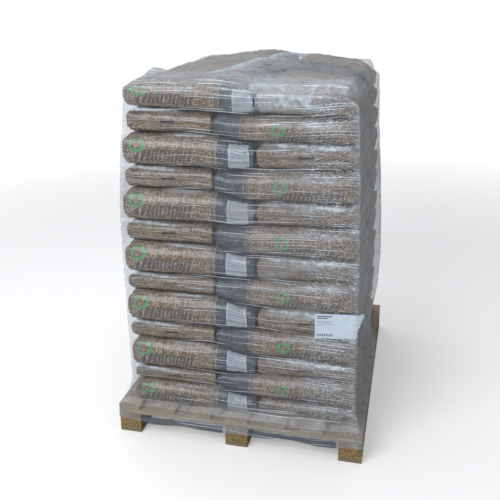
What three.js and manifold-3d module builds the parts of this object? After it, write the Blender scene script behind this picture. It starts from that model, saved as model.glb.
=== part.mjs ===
// A pallet of filled sacks under stretch film, in millimetres with +Z up. The origin is on the floor
// under the middle of the pallet. X runs along the narrow face with the sheet label, Y away from it.
import * as THREE from "three";
import { mergeVertices } from "three/addons/utils/BufferGeometryUtils.js";
import Module from "manifold-3d";

// Pallet: a one-way block pallet of sawn boards and pressed-wood blocks.
const PALLET_WIDTH = 1100; // along X
const PALLET_DEPTH = 1300; // along Y
const BOARD_WIDTH = 100;
const BOARD_THICKNESS = 20;
const BLOCK_HEIGHT = 78;
const DECK_BOARDS = 7;
const ROW_NAMES = ["front", "middle", "back"];
const COLUMN_NAMES = ["left", "centre", "right"];

// Stack: layers of five sacks. Three lie across the width, side by side, and two lie along the
// depth beside them. Each layer is turned half round on the one below.
// The load presses the lowest layers flatter. The sacks that lie across the width bulge more than
// the ends beside them, so the joints between layers fall off or rise a little to the right.
const LAYER_HEIGHTS = [99, 95, 112, 104, 124, 107, 120, 113, 118, 115, 120, 101, 109];
const JOINT_SLOPES = [
  0, -0.035, 0.037, -0.049, 0.012, -0.049, 0.026, -0.04, 0.019, -0.049, 0.012, -0.04, -0.03, -0.026,
];
const LAYERS = LAYER_HEIGHTS.length;
const SACKS_ACROSS = 3;
const SACKS_ALONG = 2;
const SEAT_GAP = 0.3; // free space between soft solids and what they rest on
const STACK_WIDTH = 996; // at the foot
const STACK_DEPTH = 1212;
const TOP_NARROWING = 62; // how much the film has drawn the top layer in, over both sides
const NARROWING_POWER = 2.4;
const STACK_SHIFT_X = 8;
const STACK_SHIFT_Y = -6;
const LONG_SHARES = [0.58, 0.608]; // share of the width that a sack's length takes, layer by layer
const END_SETBACK = 10; // how far the sacks along the depth stand back from the front and the back
const SACK_CORNER_RADIUS = 46;
const CORNER_SEGMENTS = 2;
// Flank of a sack: its lower half is full and its upper half leans back, at the ends more than at
// the long sides. Each entry is a height share, the inset of the ends and that of the sides.
const FLANK = [
  [0, 22, 18],
  [0.1, 8, 6],
  [0.5, 0, 0],
  [0.8, 18, 13],
  [1, 66, 44],
];
const NEIGHBOUR_OVERLAP = 1; // touching sacks of a layer are pressed into each other by this much

// Top: nothing presses the highest sacks, so each is domed. Together they rise to a low crown behind
// the middle and fall off at the right side.
const PILLOW_RINGS = [
  [50, 7],
  [110, 10],
];
const CROWN_HEIGHT = 54;
const CROWN_MIDDLE_X = 0;
const CROWN_MIDDLE_Y = 450;
const CROWN_SPREAD_X = 340;
const CROWN_SPREAD_Y = 600;
const FALL_START_X = 370;
const FALL_REACH = 120;
const FALL_DEPTH = 50;
const FALL_POWER = 1.2;
const CELL = 150; // spacing of points on the crown

// Film: one thin hood that follows the stack and flares out to the rim of the pallet.
const FILM_THICKNESS = 1;
const FILM_GAP = 0.5;
const FILM_HEM = 66; // height of the hem above the floor
const FILM_RIM_RADIUS = 1; // the film is drawn sharply round the pallet's own corners
const FILM_FLARE_SHARE = 0.8; // height share of the lowest layer at which the film leaves the sacks
// On top the film lies on the sacks and spans their seams. Each entry is an inset from the outline
// and a height over the last joint.
const FILM_TOP = [
  [8, -16],
  [40, 7],
  [96, 14],
  [158, 17],
  [270, 17],
  [400, 17],
];

// Sheet label stuck to the film round the front right corner.
const LABEL_LENGTH = 210;
const LABEL_HEIGHT = 110;
const LABEL_START_X = 330;
const LABEL_BOTTOM = 554;
const LABEL_THICKNESS = 0.5;
const LABEL_GAP = 0.3;

const PALLET_HEIGHT = 3 * BOARD_THICKNESS + BLOCK_HEIGHT;
const STACK_BASE = PALLET_HEIGHT + SEAT_GAP;

const FINISHES = {
  sawnBoard: { color: 0xb79c74, roughness: 0.85, metalness: 0 },
  pressedBlock: { color: 0xa97f4a, roughness: 0.9, metalness: 0 },
  sackFilm: { color: 0x8a6f52, roughness: 0.35, metalness: 0 },
  stretchFilm: { color: 0xd5dadc, roughness: 0.2, metalness: 0, transparent: true, opacity: 0.3 },
  labelPaper: { color: 0xe9edf0, roughness: 0.7, metalness: 0 },
};

const wasm = await Module();
wasm.setup();

const part = new THREE.Group();

function addPiece(group, name, geometry, finish) {
  const mesh = new THREE.Mesh(geometry, new THREE.MeshStandardMaterial(FINISHES[finish]));
  mesh.name = name;
  group.add(mesh);
  return mesh;
}

function solidFrom(geometry) {
  const shape = geometry.clone();
  shape.deleteAttribute("normal");
  shape.deleteAttribute("uv");
  const merged = mergeVertices(shape, 1e-3);
  return new wasm.Manifold(
    new wasm.Mesh({
      numProp: 3,
      vertProperties: new Float32Array(merged.attributes.position.array),
      triVerts: new Uint32Array(merged.index.array),
    }),
  );
}

function geometryFrom(solid) {
  const mesh = solid.getMesh();
  const geometry = new THREE.BufferGeometry();
  geometry.setAttribute("position", new THREE.BufferAttribute(mesh.vertProperties, 3));
  geometry.setIndex(new THREE.BufferAttribute(mesh.triVerts, 1));
  geometry.computeVertexNormals();
  return geometry;
}

// A closed outline with round corners, counterclockwise from above, as points at height z. Its sides
// along X and Y are cut by so many extra points.
function roundedOutline(halfX, halfY, radius, z, [cutsX, cutsY] = [0, 0]) {
  const sides = [[1, 1], [-1, 1], [-1, -1], [1, -1]];
  const corners = sides.map(([sideX, sideY], corner) =>
    Array.from({ length: CORNER_SEGMENTS + 1 }, (_, step) => {
      const angle = (corner + step / CORNER_SEGMENTS) * (Math.PI / 2);
      const x = sideX * (halfX - radius) + radius * Math.cos(angle);
      const y = sideY * (halfY - radius) + radius * Math.sin(angle);
      return new THREE.Vector3(x, y, z);
    }),
  );
  return corners.flatMap((points, corner) => {
    const from = points[CORNER_SEGMENTS];
    const to = corners[(corner + 1) % corners.length][0];
    const cuts = corner % 2 === 0 ? cutsX : cutsY;
    const between = Array.from({ length: cuts }, (_, cut) =>
      from.clone().lerp(to, (cut + 1) / (cuts + 1)),
    );
    return [...points, ...between];
  });
}

// Indices of the skin between consecutive rings of equally many points, ring after ring.
function skinBetween(ringCount, pointCount, firstRing, outward) {
  const indices = [];
  for (let ring = firstRing; ring < firstRing + ringCount - 1; ring++)
    for (let i = 0; i < pointCount; i++) {
      const next = (i + 1) % pointCount;
      const [a, b] = [ring * pointCount + i, ring * pointCount + next];
      const [c, d] = [a + pointCount, b + pointCount];
      indices.push(...(outward ? [a, b, d, a, d, c] : [a, d, b, a, c, d]));
    }
  return indices;
}

function capOver(ring, pointCount, upward) {
  const indices = [];
  const first = ring * pointCount;
  for (let i = 1; i < pointCount - 1; i++)
    indices.push(first, ...(upward ? [first + i, first + i + 1] : [first + i + 1, first + i]));
  return indices;
}

function geometryOf(points, indices) {
  const geometry = new THREE.BufferGeometry().setFromPoints(points);
  geometry.setIndex(indices);
  geometry.computeVertexNormals();
  return geometry;
}

// A closed solid through rings of equally many points, from the lowest to the highest.
function loftedSolid(rings) {
  const count = rings[0].length;
  const indices = [
    ...skinBetween(rings.length, count, 0, true),
    ...capOver(0, count, false),
    ...capOver(rings.length - 1, count, true),
  ];
  return geometryOf(rings.flat(), indices);
}

// A hood open at the bottom: outer rings, inner rings and the rim that joins them.
function loftedHood(outerRings, innerRings) {
  const count = outerRings[0].length;
  const inner = outerRings.length;
  const indices = [
    ...skinBetween(outerRings.length, count, 0, true),
    ...capOver(outerRings.length - 1, count, true),
    ...skinBetween(innerRings.length, count, inner, false),
    ...capOver(inner + innerRings.length - 1, count, false),
  ];
  for (let i = 0; i < count; i++) {
    const next = (i + 1) % count;
    const [a, b] = [i, next];
    const [c, d] = [inner * count + i, inner * count + next];
    indices.push(a, d, b, a, c, d);
  }
  return geometryOf([...outerRings, ...innerRings].flat(), indices);
}

// Height of the joint under a layer, at the stack's middle.
function jointHeight(layer) {
  return LAYER_HEIGHTS.slice(0, layer).reduce((sum, height) => sum + height, STACK_BASE);
}

// How much higher the top lies at a place of the stack than at its front left.
function crownHeight(x, y) {
  const awayX = (x - CROWN_MIDDLE_X) / CROWN_SPREAD_X;
  const awayY = (y - CROWN_MIDDLE_Y) / CROWN_SPREAD_Y;
  const fallen = Math.max(x - FALL_START_X, 0) / FALL_REACH;
  return (
    CROWN_HEIGHT * Math.exp(-awayX * awayX - awayY * awayY) -
    FALL_DEPTH * Math.pow(fallen, FALL_POWER)
  );
}

// How far a point of a layer is moved up. The layer's lower face lies on the joint below, its upper
// face under the joint above, and the highest layer also follows the crown.
function settledBy(layer, heightShare, x, y) {
  const share = THREE.MathUtils.clamp(heightShare, 0, 1);
  const slope = THREE.MathUtils.lerp(JOINT_SLOPES[layer], JOINT_SLOPES[layer + 1], share);
  const crown = layer === LAYERS - 1 ? crownHeight(x, y) : 0;
  return slope * x + share * crown;
}

// One filled sack of outline sizeX by sizeY, with its lowest point at z = 0.
function sackGeometry(sizeX, sizeY, height, domed) {
  const endsAlongX = sizeX > sizeY;
  const cuts = domed ? [Math.floor(sizeX / CELL), Math.floor(sizeY / CELL)] : [0, 0];
  const ring = (endInset, sideInset, z) => {
    const [insetX, insetY] = endsAlongX ? [endInset, sideInset] : [sideInset, endInset];
    return roundedOutline(sizeX / 2 - insetX, sizeY / 2 - insetY, SACK_CORNER_RADIUS, z, cuts);
  };
  const rings = FLANK.map(([share, ...insets]) => ring(...insets, share * height));
  const [, endInset, sideInset] = FLANK[FLANK.length - 1];
  if (domed)
    for (const [further, rise] of PILLOW_RINGS)
      rings.push(ring(endInset + further, sideInset + further, height + rise));
  return loftedSolid(rings);
}

// Width and depth of a layer, from 0 for the lowest to LAYERS - 1 for the highest.
function layerSize(layer) {
  const narrowing = TOP_NARROWING * Math.pow(layer / (LAYERS - 1), NARROWING_POWER);
  return [STACK_WIDTH - narrowing, STACK_DEPTH - narrowing];
}

function settle(geometry, layer, height) {
  const points = geometry.attributes.position;
  for (let i = 0; i < points.count; i++) {
    const [x, y, z] = [points.getX(i), points.getY(i), points.getZ(i)];
    points.setZ(i, z + settledBy(layer, z / height, x, y));
  }
  geometry.computeVertexNormals();
  return geometry;
}

// The five sacks of a layer joined into one solid. Grooves between them stay in its faces.
function layerGeometry(layer) {
  const [width, depth] = layerSize(layer);
  const height = LAYER_HEIGHTS[layer] - SEAT_GAP;
  const longSize = LONG_SHARES[layer % 2] * width;
  const shortSize = width - longSize;
  const longSide = layer % 2 === 0 ? -1 : 1;
  const domed = layer === LAYERS - 1;
  const places = [];
  for (let row = 0; row < SACKS_ACROSS; row++)
    places.push({
      x: (longSide * shortSize) / 2,
      y: ((row - (SACKS_ACROSS - 1) / 2) * depth) / SACKS_ACROSS,
      sizeX: longSize,
      sizeY: depth / SACKS_ACROSS,
    });
  for (const side of [-1, 1])
    places.push({
      x: (-longSide * longSize) / 2,
      y: (side * (depth / SACKS_ALONG - END_SETBACK)) / 2,
      sizeX: shortSize,
      sizeY: depth / SACKS_ALONG - END_SETBACK,
    });
  const sacks = places.map(({ x, y, sizeX, sizeY }) => {
    const outline = [sizeX + NEIGHBOUR_OVERLAP, sizeY + NEIGHBOUR_OVERLAP];
    return solidFrom(sackGeometry(...outline, height, domed).translate(x, y, 0));
  });
  return settle(geometryFrom(sacks.reduce((joined, sack) => joined.add(sack))), layer, height);
}

function makePallet() {
  const pallet = new THREE.Group();
  const across = [-1, 0, 1].map((side) => (side * (PALLET_WIDTH - BOARD_WIDTH)) / 2);
  const along = [-1, 0, 1].map((side) => (side * (PALLET_DEPTH - BOARD_WIDTH)) / 2);
  const place = (name, size, finish, x, y, bottom) =>
    addPiece(pallet, name, new THREE.BoxGeometry(...size), finish).position.set(
      x,
      y,
      bottom + size[2] / 2,
    );
  const runner = [BOARD_WIDTH, PALLET_DEPTH, BOARD_THICKNESS];
  const blockSize = [BOARD_WIDTH, BOARD_WIDTH, BLOCK_HEIGHT];
  const stringer = [PALLET_WIDTH, BOARD_WIDTH, BOARD_THICKNESS];
  across.forEach((x, column) => {
    place(`bottom_runner_${COLUMN_NAMES[column]}`, runner, "sawnBoard", x, 0, 0);
    along.forEach((y, row) => {
      const name = `block_${ROW_NAMES[row]}_${COLUMN_NAMES[column]}`;
      place(name, blockSize, "pressedBlock", x, y, BOARD_THICKNESS);
    });
  });
  along.forEach((y, row) => {
    const bottom = BOARD_THICKNESS + BLOCK_HEIGHT;
    place(`stringer_board_${ROW_NAMES[row]}`, stringer, "sawnBoard", 0, y, bottom);
  });
  const deckPitch = (PALLET_WIDTH - BOARD_WIDTH) / (DECK_BOARDS - 1);
  for (let board = 0; board < DECK_BOARDS; board++) {
    const x = (board - (DECK_BOARDS - 1) / 2) * deckPitch;
    const bottom = 2 * BOARD_THICKNESS + BLOCK_HEIGHT;
    place(`deck_board_${board + 1}`, runner, "sawnBoard", x, 0, bottom);
  }
  return pallet;
}

function makeStack() {
  const stack = new THREE.Group();
  stack.position.set(STACK_SHIFT_X, STACK_SHIFT_Y, 0);
  for (let layer = 0; layer < LAYERS; layer++) {
    const name = `sack_layer_${String(layer + 1).padStart(2, "0")}`;
    addPiece(stack, name, layerGeometry(layer), "sackFilm").position.z = jointHeight(layer);
  }
  return stack;
}

// Half sizes and height of the film's inner face, from the hem to the middle of the highest layer.
function filmLevels() {
  const rim = (height) => ({
    halfX: PALLET_WIDTH / 2 + FILM_GAP,
    halfY: PALLET_DEPTH / 2 + FILM_GAP,
    x: 0,
    y: 0,
    radius: FILM_RIM_RADIUS,
    z: height,
    settled: () => 0,
  });
  const levels = [rim(FILM_HEM), rim(PALLET_HEIGHT)];
  for (let layer = 0; layer < LAYERS; layer++) {
    const [width, depth] = layerSize(layer);
    const share = layer === 0 ? FILM_FLARE_SHARE : 0.5;
    levels.push({
      halfX: (width + NEIGHBOUR_OVERLAP) / 2 + FILM_GAP,
      halfY: (depth + NEIGHBOUR_OVERLAP) / 2 + FILM_GAP,
      x: STACK_SHIFT_X,
      y: STACK_SHIFT_Y,
      radius: SACK_CORNER_RADIUS,
      z: jointHeight(layer) + share * LAYER_HEIGHTS[layer],
      settled: (x, y) => settledBy(layer, share, x, y),
    });
  }
  return levels;
}

function filmRing(level, offset, inset = 0, cuts = [0, 0]) {
  const grow = offset - inset;
  const [halfX, halfY] = [level.halfX + grow, level.halfY + grow];
  const outline = roundedOutline(halfX, halfY, level.radius + offset, level.z, cuts);
  return outline.map((point) => {
    const settled = level.settled(point.x, point.y);
    return point.add(new THREE.Vector3(level.x, level.y, settled));
  });
}

function makeFilm() {
  const levels = filmLevels();
  const last = levels[levels.length - 1];
  const top = jointHeight(LAYERS);
  const cuts = [PALLET_WIDTH, PALLET_DEPTH].map((size) => Math.floor(size / CELL) - 1);
  const topRing = (offset, [inset, rise]) => {
    const share = 1 + rise / LAYER_HEIGHTS[LAYERS - 1];
    const settled = (x, y) => settledBy(LAYERS - 1, share, x, y);
    return filmRing({ ...last, z: top + rise + offset, settled }, offset, inset, cuts);
  };
  const hood = (offset) => [
    ...levels.map((level) => filmRing(level, offset, 0, cuts)),
    ...FILM_TOP.map((place) => topRing(offset, place)),
  ];
  const film = new THREE.Group();
  addPiece(film, "film_hood", loftedHood(hood(FILM_THICKNESS), hood(0)), "stretchFilm");
  return film;
}

// The film's level at height z, between the two that lie below and above it.
function filmLevelAt(levels, z) {
  const upper = levels.findIndex((level) => level.z >= z);
  const [low, high] = [levels[upper - 1], levels[upper]];
  const share = (z - low.z) / (high.z - low.z);
  const level = { z, settled: () => 0 };
  for (const key of ["halfX", "halfY", "x", "y", "radius"])
    level[key] = low[key] + share * (high[key] - low[key]);
  return level;
}

// The label follows the film's face along the front, round the corner and a little up the side.
function labelPath(level, offset) {
  const ring = filmRing(level, FILM_THICKNESS + offset);
  const corner = ring.slice(-(CORNER_SEGMENTS + 1));
  const start = new THREE.Vector3(LABEL_START_X, corner[0].y, level.z);
  const path = [start, ...corner];
  let length = 0;
  for (let i = 1; i < path.length; i++) length += path[i].distanceTo(path[i - 1]);
  const end = corner[CORNER_SEGMENTS].clone();
  end.y += LABEL_LENGTH - length;
  return [...path, end];
}

function makeLabel() {
  const levels = filmLevels();
  const top = LABEL_BOTTOM + LABEL_HEIGHT;
  const between = levels.map(({ z }) => z).filter((z) => z > LABEL_BOTTOM && z < top);
  const rings = [LABEL_BOTTOM, ...between, top].map((z) => {
    const level = filmLevelAt(levels, z);
    const outer = labelPath(level, LABEL_GAP + LABEL_THICKNESS);
    const inner = labelPath(level, LABEL_GAP);
    return [...outer, ...inner.reverse()];
  });
  const count = rings[0].length;
  const indices = skinBetween(rings.length, count, 0, true);
  // The cut edges below and above are narrow strips between the outer and the inner path.
  for (let i = 0; i < count / 2 - 1; i++) {
    const [a, b, c, d] = [i, i + 1, count - 2 - i, count - 1 - i];
    const up = (rings.length - 1) * count;
    indices.push(a, c, b, a, d, c, up + a, up + b, up + c, up + a, up + c, up + d);
  }
  const label = new THREE.Group();
  addPiece(label, "film_label", geometryOf(rings.flat(), indices), "labelPaper");
  return label;
}

part.add(makePallet(), makeStack(), makeFilm(), makeLabel());

export default part;
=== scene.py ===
# %% [markdown]
# # A pallet of filled sacks under stretch film
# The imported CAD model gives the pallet, thirteen plain sack layers, a plain film hood and a plain
# label. The pallet keeps its CAD shape and gets wood materials. Each sack layer is replaced by five
# sacks that are pressed into shape by a cloth simulation, the hood by one thin creased sheet and the
# label by a crinkled sheet of paper. Everything is in metres, in the frame of the CAD model.

import math

import bmesh
import bpy
import numpy as np
from mathutils import Euler, Matrix, Vector
from mathutils.bvhtree import BVHTree


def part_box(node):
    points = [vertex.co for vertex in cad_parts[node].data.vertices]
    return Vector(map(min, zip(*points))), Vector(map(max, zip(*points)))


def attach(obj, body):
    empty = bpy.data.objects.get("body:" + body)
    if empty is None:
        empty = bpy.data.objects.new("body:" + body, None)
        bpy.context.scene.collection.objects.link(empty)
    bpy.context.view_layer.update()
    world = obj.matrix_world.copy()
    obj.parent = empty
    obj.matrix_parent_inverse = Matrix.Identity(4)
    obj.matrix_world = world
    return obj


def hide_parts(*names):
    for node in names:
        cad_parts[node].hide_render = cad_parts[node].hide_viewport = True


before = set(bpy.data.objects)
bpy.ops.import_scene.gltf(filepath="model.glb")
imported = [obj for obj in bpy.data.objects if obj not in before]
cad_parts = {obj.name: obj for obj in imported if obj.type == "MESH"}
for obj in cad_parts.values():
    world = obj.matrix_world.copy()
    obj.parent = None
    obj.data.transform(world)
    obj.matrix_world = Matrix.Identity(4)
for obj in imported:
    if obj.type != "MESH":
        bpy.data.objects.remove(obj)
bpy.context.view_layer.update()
MM = 0.001
BODY = "root"
scene = bpy.context.scene


def new_object(name, data):
    item = bpy.data.objects.new(name, data)
    scene.collection.objects.link(item)
    return item


# %% [markdown]
# ## Camera
# The camera stands a little to the right of the pallet's middle and looks slightly down on it. Its
# place and turn were found by fitting the pallet's and the stack's edges, and a small vertical shift
# puts the picture's centre under the optical axis, as in the photograph.

# %% Camera
CAMERA_PLACE = (0.675, -3.068, 1.875)
CAMERA_YAW, CAMERA_PITCH, CAMERA_ROLL = 13.91, -17.68, 0.75
FOCAL_PIXELS, PICTURE_PIXELS, SENSOR_MM = 666.7, 500, 36.0
AXIS_ABOVE_CENTRE_PIXELS = 35


def make_camera():
    camera = new_object("viewpoint", bpy.data.cameras.new("viewpoint"))
    camera.data.sensor_width = SENSOR_MM
    camera.data.lens = FOCAL_PIXELS * SENSOR_MM / PICTURE_PIXELS
    camera.data.shift_y = -AXIS_ABOVE_CENTRE_PIXELS / PICTURE_PIXELS
    camera.data.clip_end = 60
    turn = (
        Matrix.Rotation(math.radians(CAMERA_YAW), 3, "Z")
        @ Matrix.Rotation(math.radians(CAMERA_PITCH), 3, "X")
        @ Matrix.Rotation(math.radians(CAMERA_ROLL), 3, "Y")
    )
    level_view = Matrix.Rotation(math.radians(90), 3, "X")
    camera.matrix_world = Matrix.Translation(CAMERA_PLACE) @ (turn @ level_view).to_4x4()
    return camera


scene.camera = make_camera()
print("camera lens", round(scene.camera.data.lens, 2), "mm")

# %% [markdown]
# ## Writing shader nodes as sums, and meshes as grids
# A procedural material is mostly arithmetic on the position. Written node by node that is hard to
# read, so a small class lets a node's output be used in ordinary sums: every operation adds one Math
# node to the tree. It works in materials and in node groups alike. The soft pieces are grids of
# points, so the quads and their map corners all come from one function that walks a grid.


# %% Signals, node groups and meshes
class Signal:
    """A node's output that can be used in sums. Each operation adds a node to its tree."""

    def __init__(self, tree, socket):
        self.tree = tree
        self.socket = socket

    def math(self, operation, *others, clamp=False):
        return made(self.tree, "ShaderNodeMath", self, *others, operation=operation, use_clamp=clamp)

    def __add__(self, other):
        return self.math("ADD", other)

    __radd__ = __add__

    def __mul__(self, other):
        return self.math("MULTIPLY", other)

    __rmul__ = __mul__

    def __sub__(self, other):
        return self.math("SUBTRACT", other)

    def __rsub__(self, other):
        return (self * -1.0) + other

    def __truediv__(self, other):
        return self.math("DIVIDE", other)

    def __abs__(self):
        return self.math("ABSOLUTE")

    def clamp(self):
        return self.math("ADD", 0.0, clamp=True)

    def root(self):
        return self.math("MAXIMUM", 0.0).math("SQRT")

    def rise(self, low, high):
        """0 below low, 1 above high and smooth between. With low above high it falls."""
        if low > high:
            return 1.0 - self.rise(high, low)
        return made(self.tree, "ShaderNodeMapRange", self, low, high, interpolation_type="SMOOTHSTEP")

    def inside(self, low, high, soft):
        """1 between low and high, with soft edges."""
        return self.rise(low - soft, low + soft) * self.rise(high + soft, high - soft)

    def parts(self):
        node = add_node(self.tree, "ShaderNodeSeparateXYZ", self)
        return [Signal(self.tree, socket) for socket in node.outputs]


def plug(socket, source):
    """Links a signal to a socket, or sets a plain value."""
    if isinstance(source, Signal):
        source.tree.links.new(source.socket, socket)
    else:
        socket.default_value = source


def add_node(tree, kind, *sources, **settings):
    node = tree.nodes.new(kind)
    for name, value in settings.items():
        setattr(node, name, value)
    for socket, source in zip(node.inputs, sources):
        if source is not None:
            plug(socket, source)
    return node


def made(tree, kind, *sources, output=0, **settings):
    """A new node's output as a signal."""
    return Signal(tree, add_node(tree, kind, *sources, **settings).outputs[output])


def tree_of(*sources):
    """The tree of the first signal among some values."""
    return next(source.tree for source in sources if isinstance(source, Signal))


def vector_of(x, y, z=0.0):
    return made(tree_of(x, y, z), "ShaderNodeCombineXYZ", x, y, z)


def noise(vector, scale, detail=2.0, roughness=0.5):
    return made(vector.tree, "ShaderNodeTexNoise", vector, None, scale, detail, roughness)


def cells(vector, size, output, **settings):
    """A value of the Voronoi cell, of that size, in which a place lies."""
    return made(vector.tree, "ShaderNodeTexVoronoi", vector, None, 1 / size, output=output, **settings)


def blend(factor, low, high, kind="MIX"):
    """Mixes two colours, each a signal or red, green and blue."""
    node = add_node(tree_of(factor, low, high), "ShaderNodeMix", data_type="RGBA", blend_type=kind)
    for socket, source in zip((node.inputs[0], node.inputs[6], node.inputs[7]), (factor, low, high)):
        plug(socket, (*source, 1.0) if isinstance(source, tuple) else source)
    return Signal(node.id_data, node.outputs[2])


def start_group(name, inputs, outputs):
    """A shader node group with named sockets: its inputs as signals and its output node."""
    tree = bpy.data.node_groups.new(name, "ShaderNodeTree")
    for label, (kind, value) in inputs.items():
        socket = tree.interface.new_socket(name=label, in_out="INPUT", socket_type=kind)
        if value is not None:
            socket.default_value = value
    for label, kind in outputs.items():
        tree.interface.new_socket(name=label, in_out="OUTPUT", socket_type=kind)
    source = tree.nodes.new("NodeGroupInput")
    signals = {label: Signal(tree, source.outputs[label]) for label in inputs}
    return signals, tree.nodes.new("NodeGroupOutput")


def end_group(output, **results):
    for label, result in results.items():
        plug(output.inputs[label], result)
    return output.id_data


def use_group(group, **values):
    """Places a group in the tree of its inputs and returns its outputs by name."""
    tree = tree_of(*values.values())
    node = add_node(tree, "ShaderNodeGroup", node_tree=group)
    for label, value in values.items():
        plug(node.inputs[label], value)
    return {socket.name: Signal(tree, socket) for socket in node.outputs}


def start_material(name, **values):
    """A material with plain values on its Principled BSDF: its tree and the shader node."""
    material = bpy.data.materials.new(name)
    material.use_nodes = True
    shader = material.node_tree.nodes["Principled BSDF"]
    for label, value in values.items():
        shader.inputs[label.replace("_", " ")].default_value = value
    return material, material.node_tree, shader


def add_bump(shader, height, distance, strength=1.0):
    node = height.tree.nodes.new("ShaderNodeBump")
    for label, value in (("Strength", strength), ("Distance", distance), ("Height", height)):
        plug(node.inputs[label], value)
    plug(shader.inputs["Normal"], Signal(height.tree, node.outputs[0]))


def object_place(tree):
    return made(tree, "ShaderNodeTexCoord", output="Object")


def map_place(tree, name):
    return made(tree, "ShaderNodeUVMap", uv_map=name)


def mark(tree, name):
    """A value stored on the mesh's points under that name."""
    return made(tree, "ShaderNodeAttribute", output="Fac", attribute_name=name)


def smooth(share):
    """0 up to 0, 1 from 1 on and smooth between, for plain numbers and arrays."""
    share = np.clip(share, 0, 1)
    return share * share * (3 - 2 * share)


def new_mesh(name, points, faces, **maps):
    """A smooth mesh from arrays of points and faces, with UV maps given corner by corner."""
    data = bpy.data.meshes.new(name)
    data.from_pydata(np.asarray(points).tolist(), [], np.asarray(faces).tolist())
    for label, values in maps.items():
        data.uv_layers.new(name=label).data.foreach_set("uv", values.ravel())
    data.polygons.foreach_set("use_smooth", [True] * len(data.polygons))
    data.update()
    return data


def corners_of(grid):
    """The values at the four corners of every cell of a grid, column by column."""
    return np.stack([grid[:-1, :-1], grid[1:, :-1], grid[1:, 1:], grid[:-1, 1:]], axis=2)


VECTOR, VALUE, COLOUR = "NodeSocketVector", "NodeSocketFloat", "NodeSocketColor"
print("helpers ready")

# %% [markdown]
# ## Sawn boards
# The pallet's boards are rough sawn softwood. Their long grain is noise stretched along the board,
# the saw has left fine steps across it, there are a few knots, and the sawn ends are darker. One
# group makes this from a position whose first coordinate runs along the board, so the same group
# serves boards that lie along X and boards that lie along Y.

# %% Sawn wood group
GRAIN_STRETCH = 0.06
SAW_STEP = 4 * MM
KNOT_SPACING = 0.34
KNOT_RADIUS = 0.055


def make_sawn_wood():
    given, output = start_group(
        "sawn_wood",
        {"Place": (VECTOR, None), "Board": (VALUE, 0.0), "End": (VALUE, 0.0)},
        {"Colour": COLOUR, "Height": VALUE, "Roughness": VALUE},
    )
    along, across, up = given["Place"].parts()
    shift = given["Board"] * 7.3
    drawn = vector_of(along * GRAIN_STRETCH + shift, across + shift, up)
    warp = noise(drawn, 9.0, 2.0) - 0.5
    bent = vector_of(along * GRAIN_STRETCH + shift, across + warp * 0.05, up)
    rings = noise(bent, 95.0, 4.0, 0.65)
    fibre = noise(vector_of(along * 0.03, across + shift, up), 620.0, 3.0, 0.7)
    stain = noise(vector_of(along + shift, across, up), 3.2, 3.0, 0.6)
    off_knot = cells(vector_of(along + shift, across * 2.6 + shift, up * 2.6), KNOT_SPACING, "Distance")
    knot = off_knot.rise(KNOT_RADIUS * 1.4, KNOT_RADIUS * 0.5)
    saw = noise(vector_of(along / SAW_STEP + across * 40, across * 6, up * 6), 1.0, 1.0)
    colour = blend(rings.rise(0.36, 0.66), (0.21, 0.16, 0.105), (0.37, 0.30, 0.21))
    colour = blend(fibre.rise(0.45, 0.75) * 0.55, colour, (0.46, 0.39, 0.29))
    colour = blend(stain.rise(0.45, 0.75) * 0.5, colour, (0.20, 0.185, 0.165))
    colour = blend(knot * 0.8, colour, (0.10, 0.055, 0.03))
    end_rings = noise(vector_of(across, up * 0.5), 160.0, 3.0, 0.6)
    end_colour = blend(end_rings.rise(0.35, 0.65), (0.16, 0.112, 0.070), (0.36, 0.28, 0.185))
    colour = blend(given["End"], colour, end_colour)
    height = rings * 0.5 + fibre * 0.35 + saw * 0.4 - knot * 0.3
    return end_group(output, Colour=colour, Height=height, Roughness=0.72 + 0.2 * fibre.clamp())


sawn_wood = make_sawn_wood()
print("sawn wood group", len(sawn_wood.nodes), "nodes")

# %% Board materials
END_GRAIN_TURN = 0.7


def make_board_material(name, along_y, painted_shade=0.0):
    material, tree, shader = start_material(name, Specular_IOR_Level=0.25)
    x, y, z = object_place(tree).parts()
    along, across = (y, x) if along_y else (x, y)
    normal = made(tree, "ShaderNodeNewGeometry", output="Normal").parts()
    end = abs(normal[1] if along_y else normal[0]).rise(END_GRAIN_TURN, 0.9)
    board = made(tree, "ShaderNodeObjectInfo", output="Random")
    wood = use_group(sawn_wood, Place=vector_of(along, across, z), Board=board, End=end)
    tone = blend(board * 0.35, wood["Colour"], (0.38, 0.33, 0.25))
    # Painted shade: a board can be darkened towards dark brown, as for the boards on the floor.
    tone = blend(painted_shade, tone, (0.13, 0.095, 0.045))
    plug(shader.inputs["Base Color"], tone)
    plug(shader.inputs["Roughness"], wood["Roughness"])
    add_bump(shader, wood["Height"], 1.2 * MM, 0.8)
    return material


def dress(prefix, material):
    """Gives the CAD nodes whose names start like that a material instead of their plain one."""
    for name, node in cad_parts.items():
        if name.startswith(prefix):
            node.data.materials.clear()
            node.data.materials.append(material)


dress("deck_board", make_board_material("sawn_board_lengthways", True))
# The boards on the floor get painted shade, as they lie in shadow.
dress("bottom_runner", make_board_material("sawn_board_on_the_floor", True, painted_shade=0.6))
dress("stringer_board", make_board_material("sawn_board_crossways", False))
print("boards dressed")

# %% [markdown]
# ## Pressed blocks
# The nine blocks are pressed from wood chips: ochre, with lighter and darker flakes that lie mostly
# flat and small open pores. Flattened Voronoi cells give each flake its own tone, and the distance to
# the cell's edge gives the pores.

# %% Pressed chip material
CHIP_SIZE = 9 * MM


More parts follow.
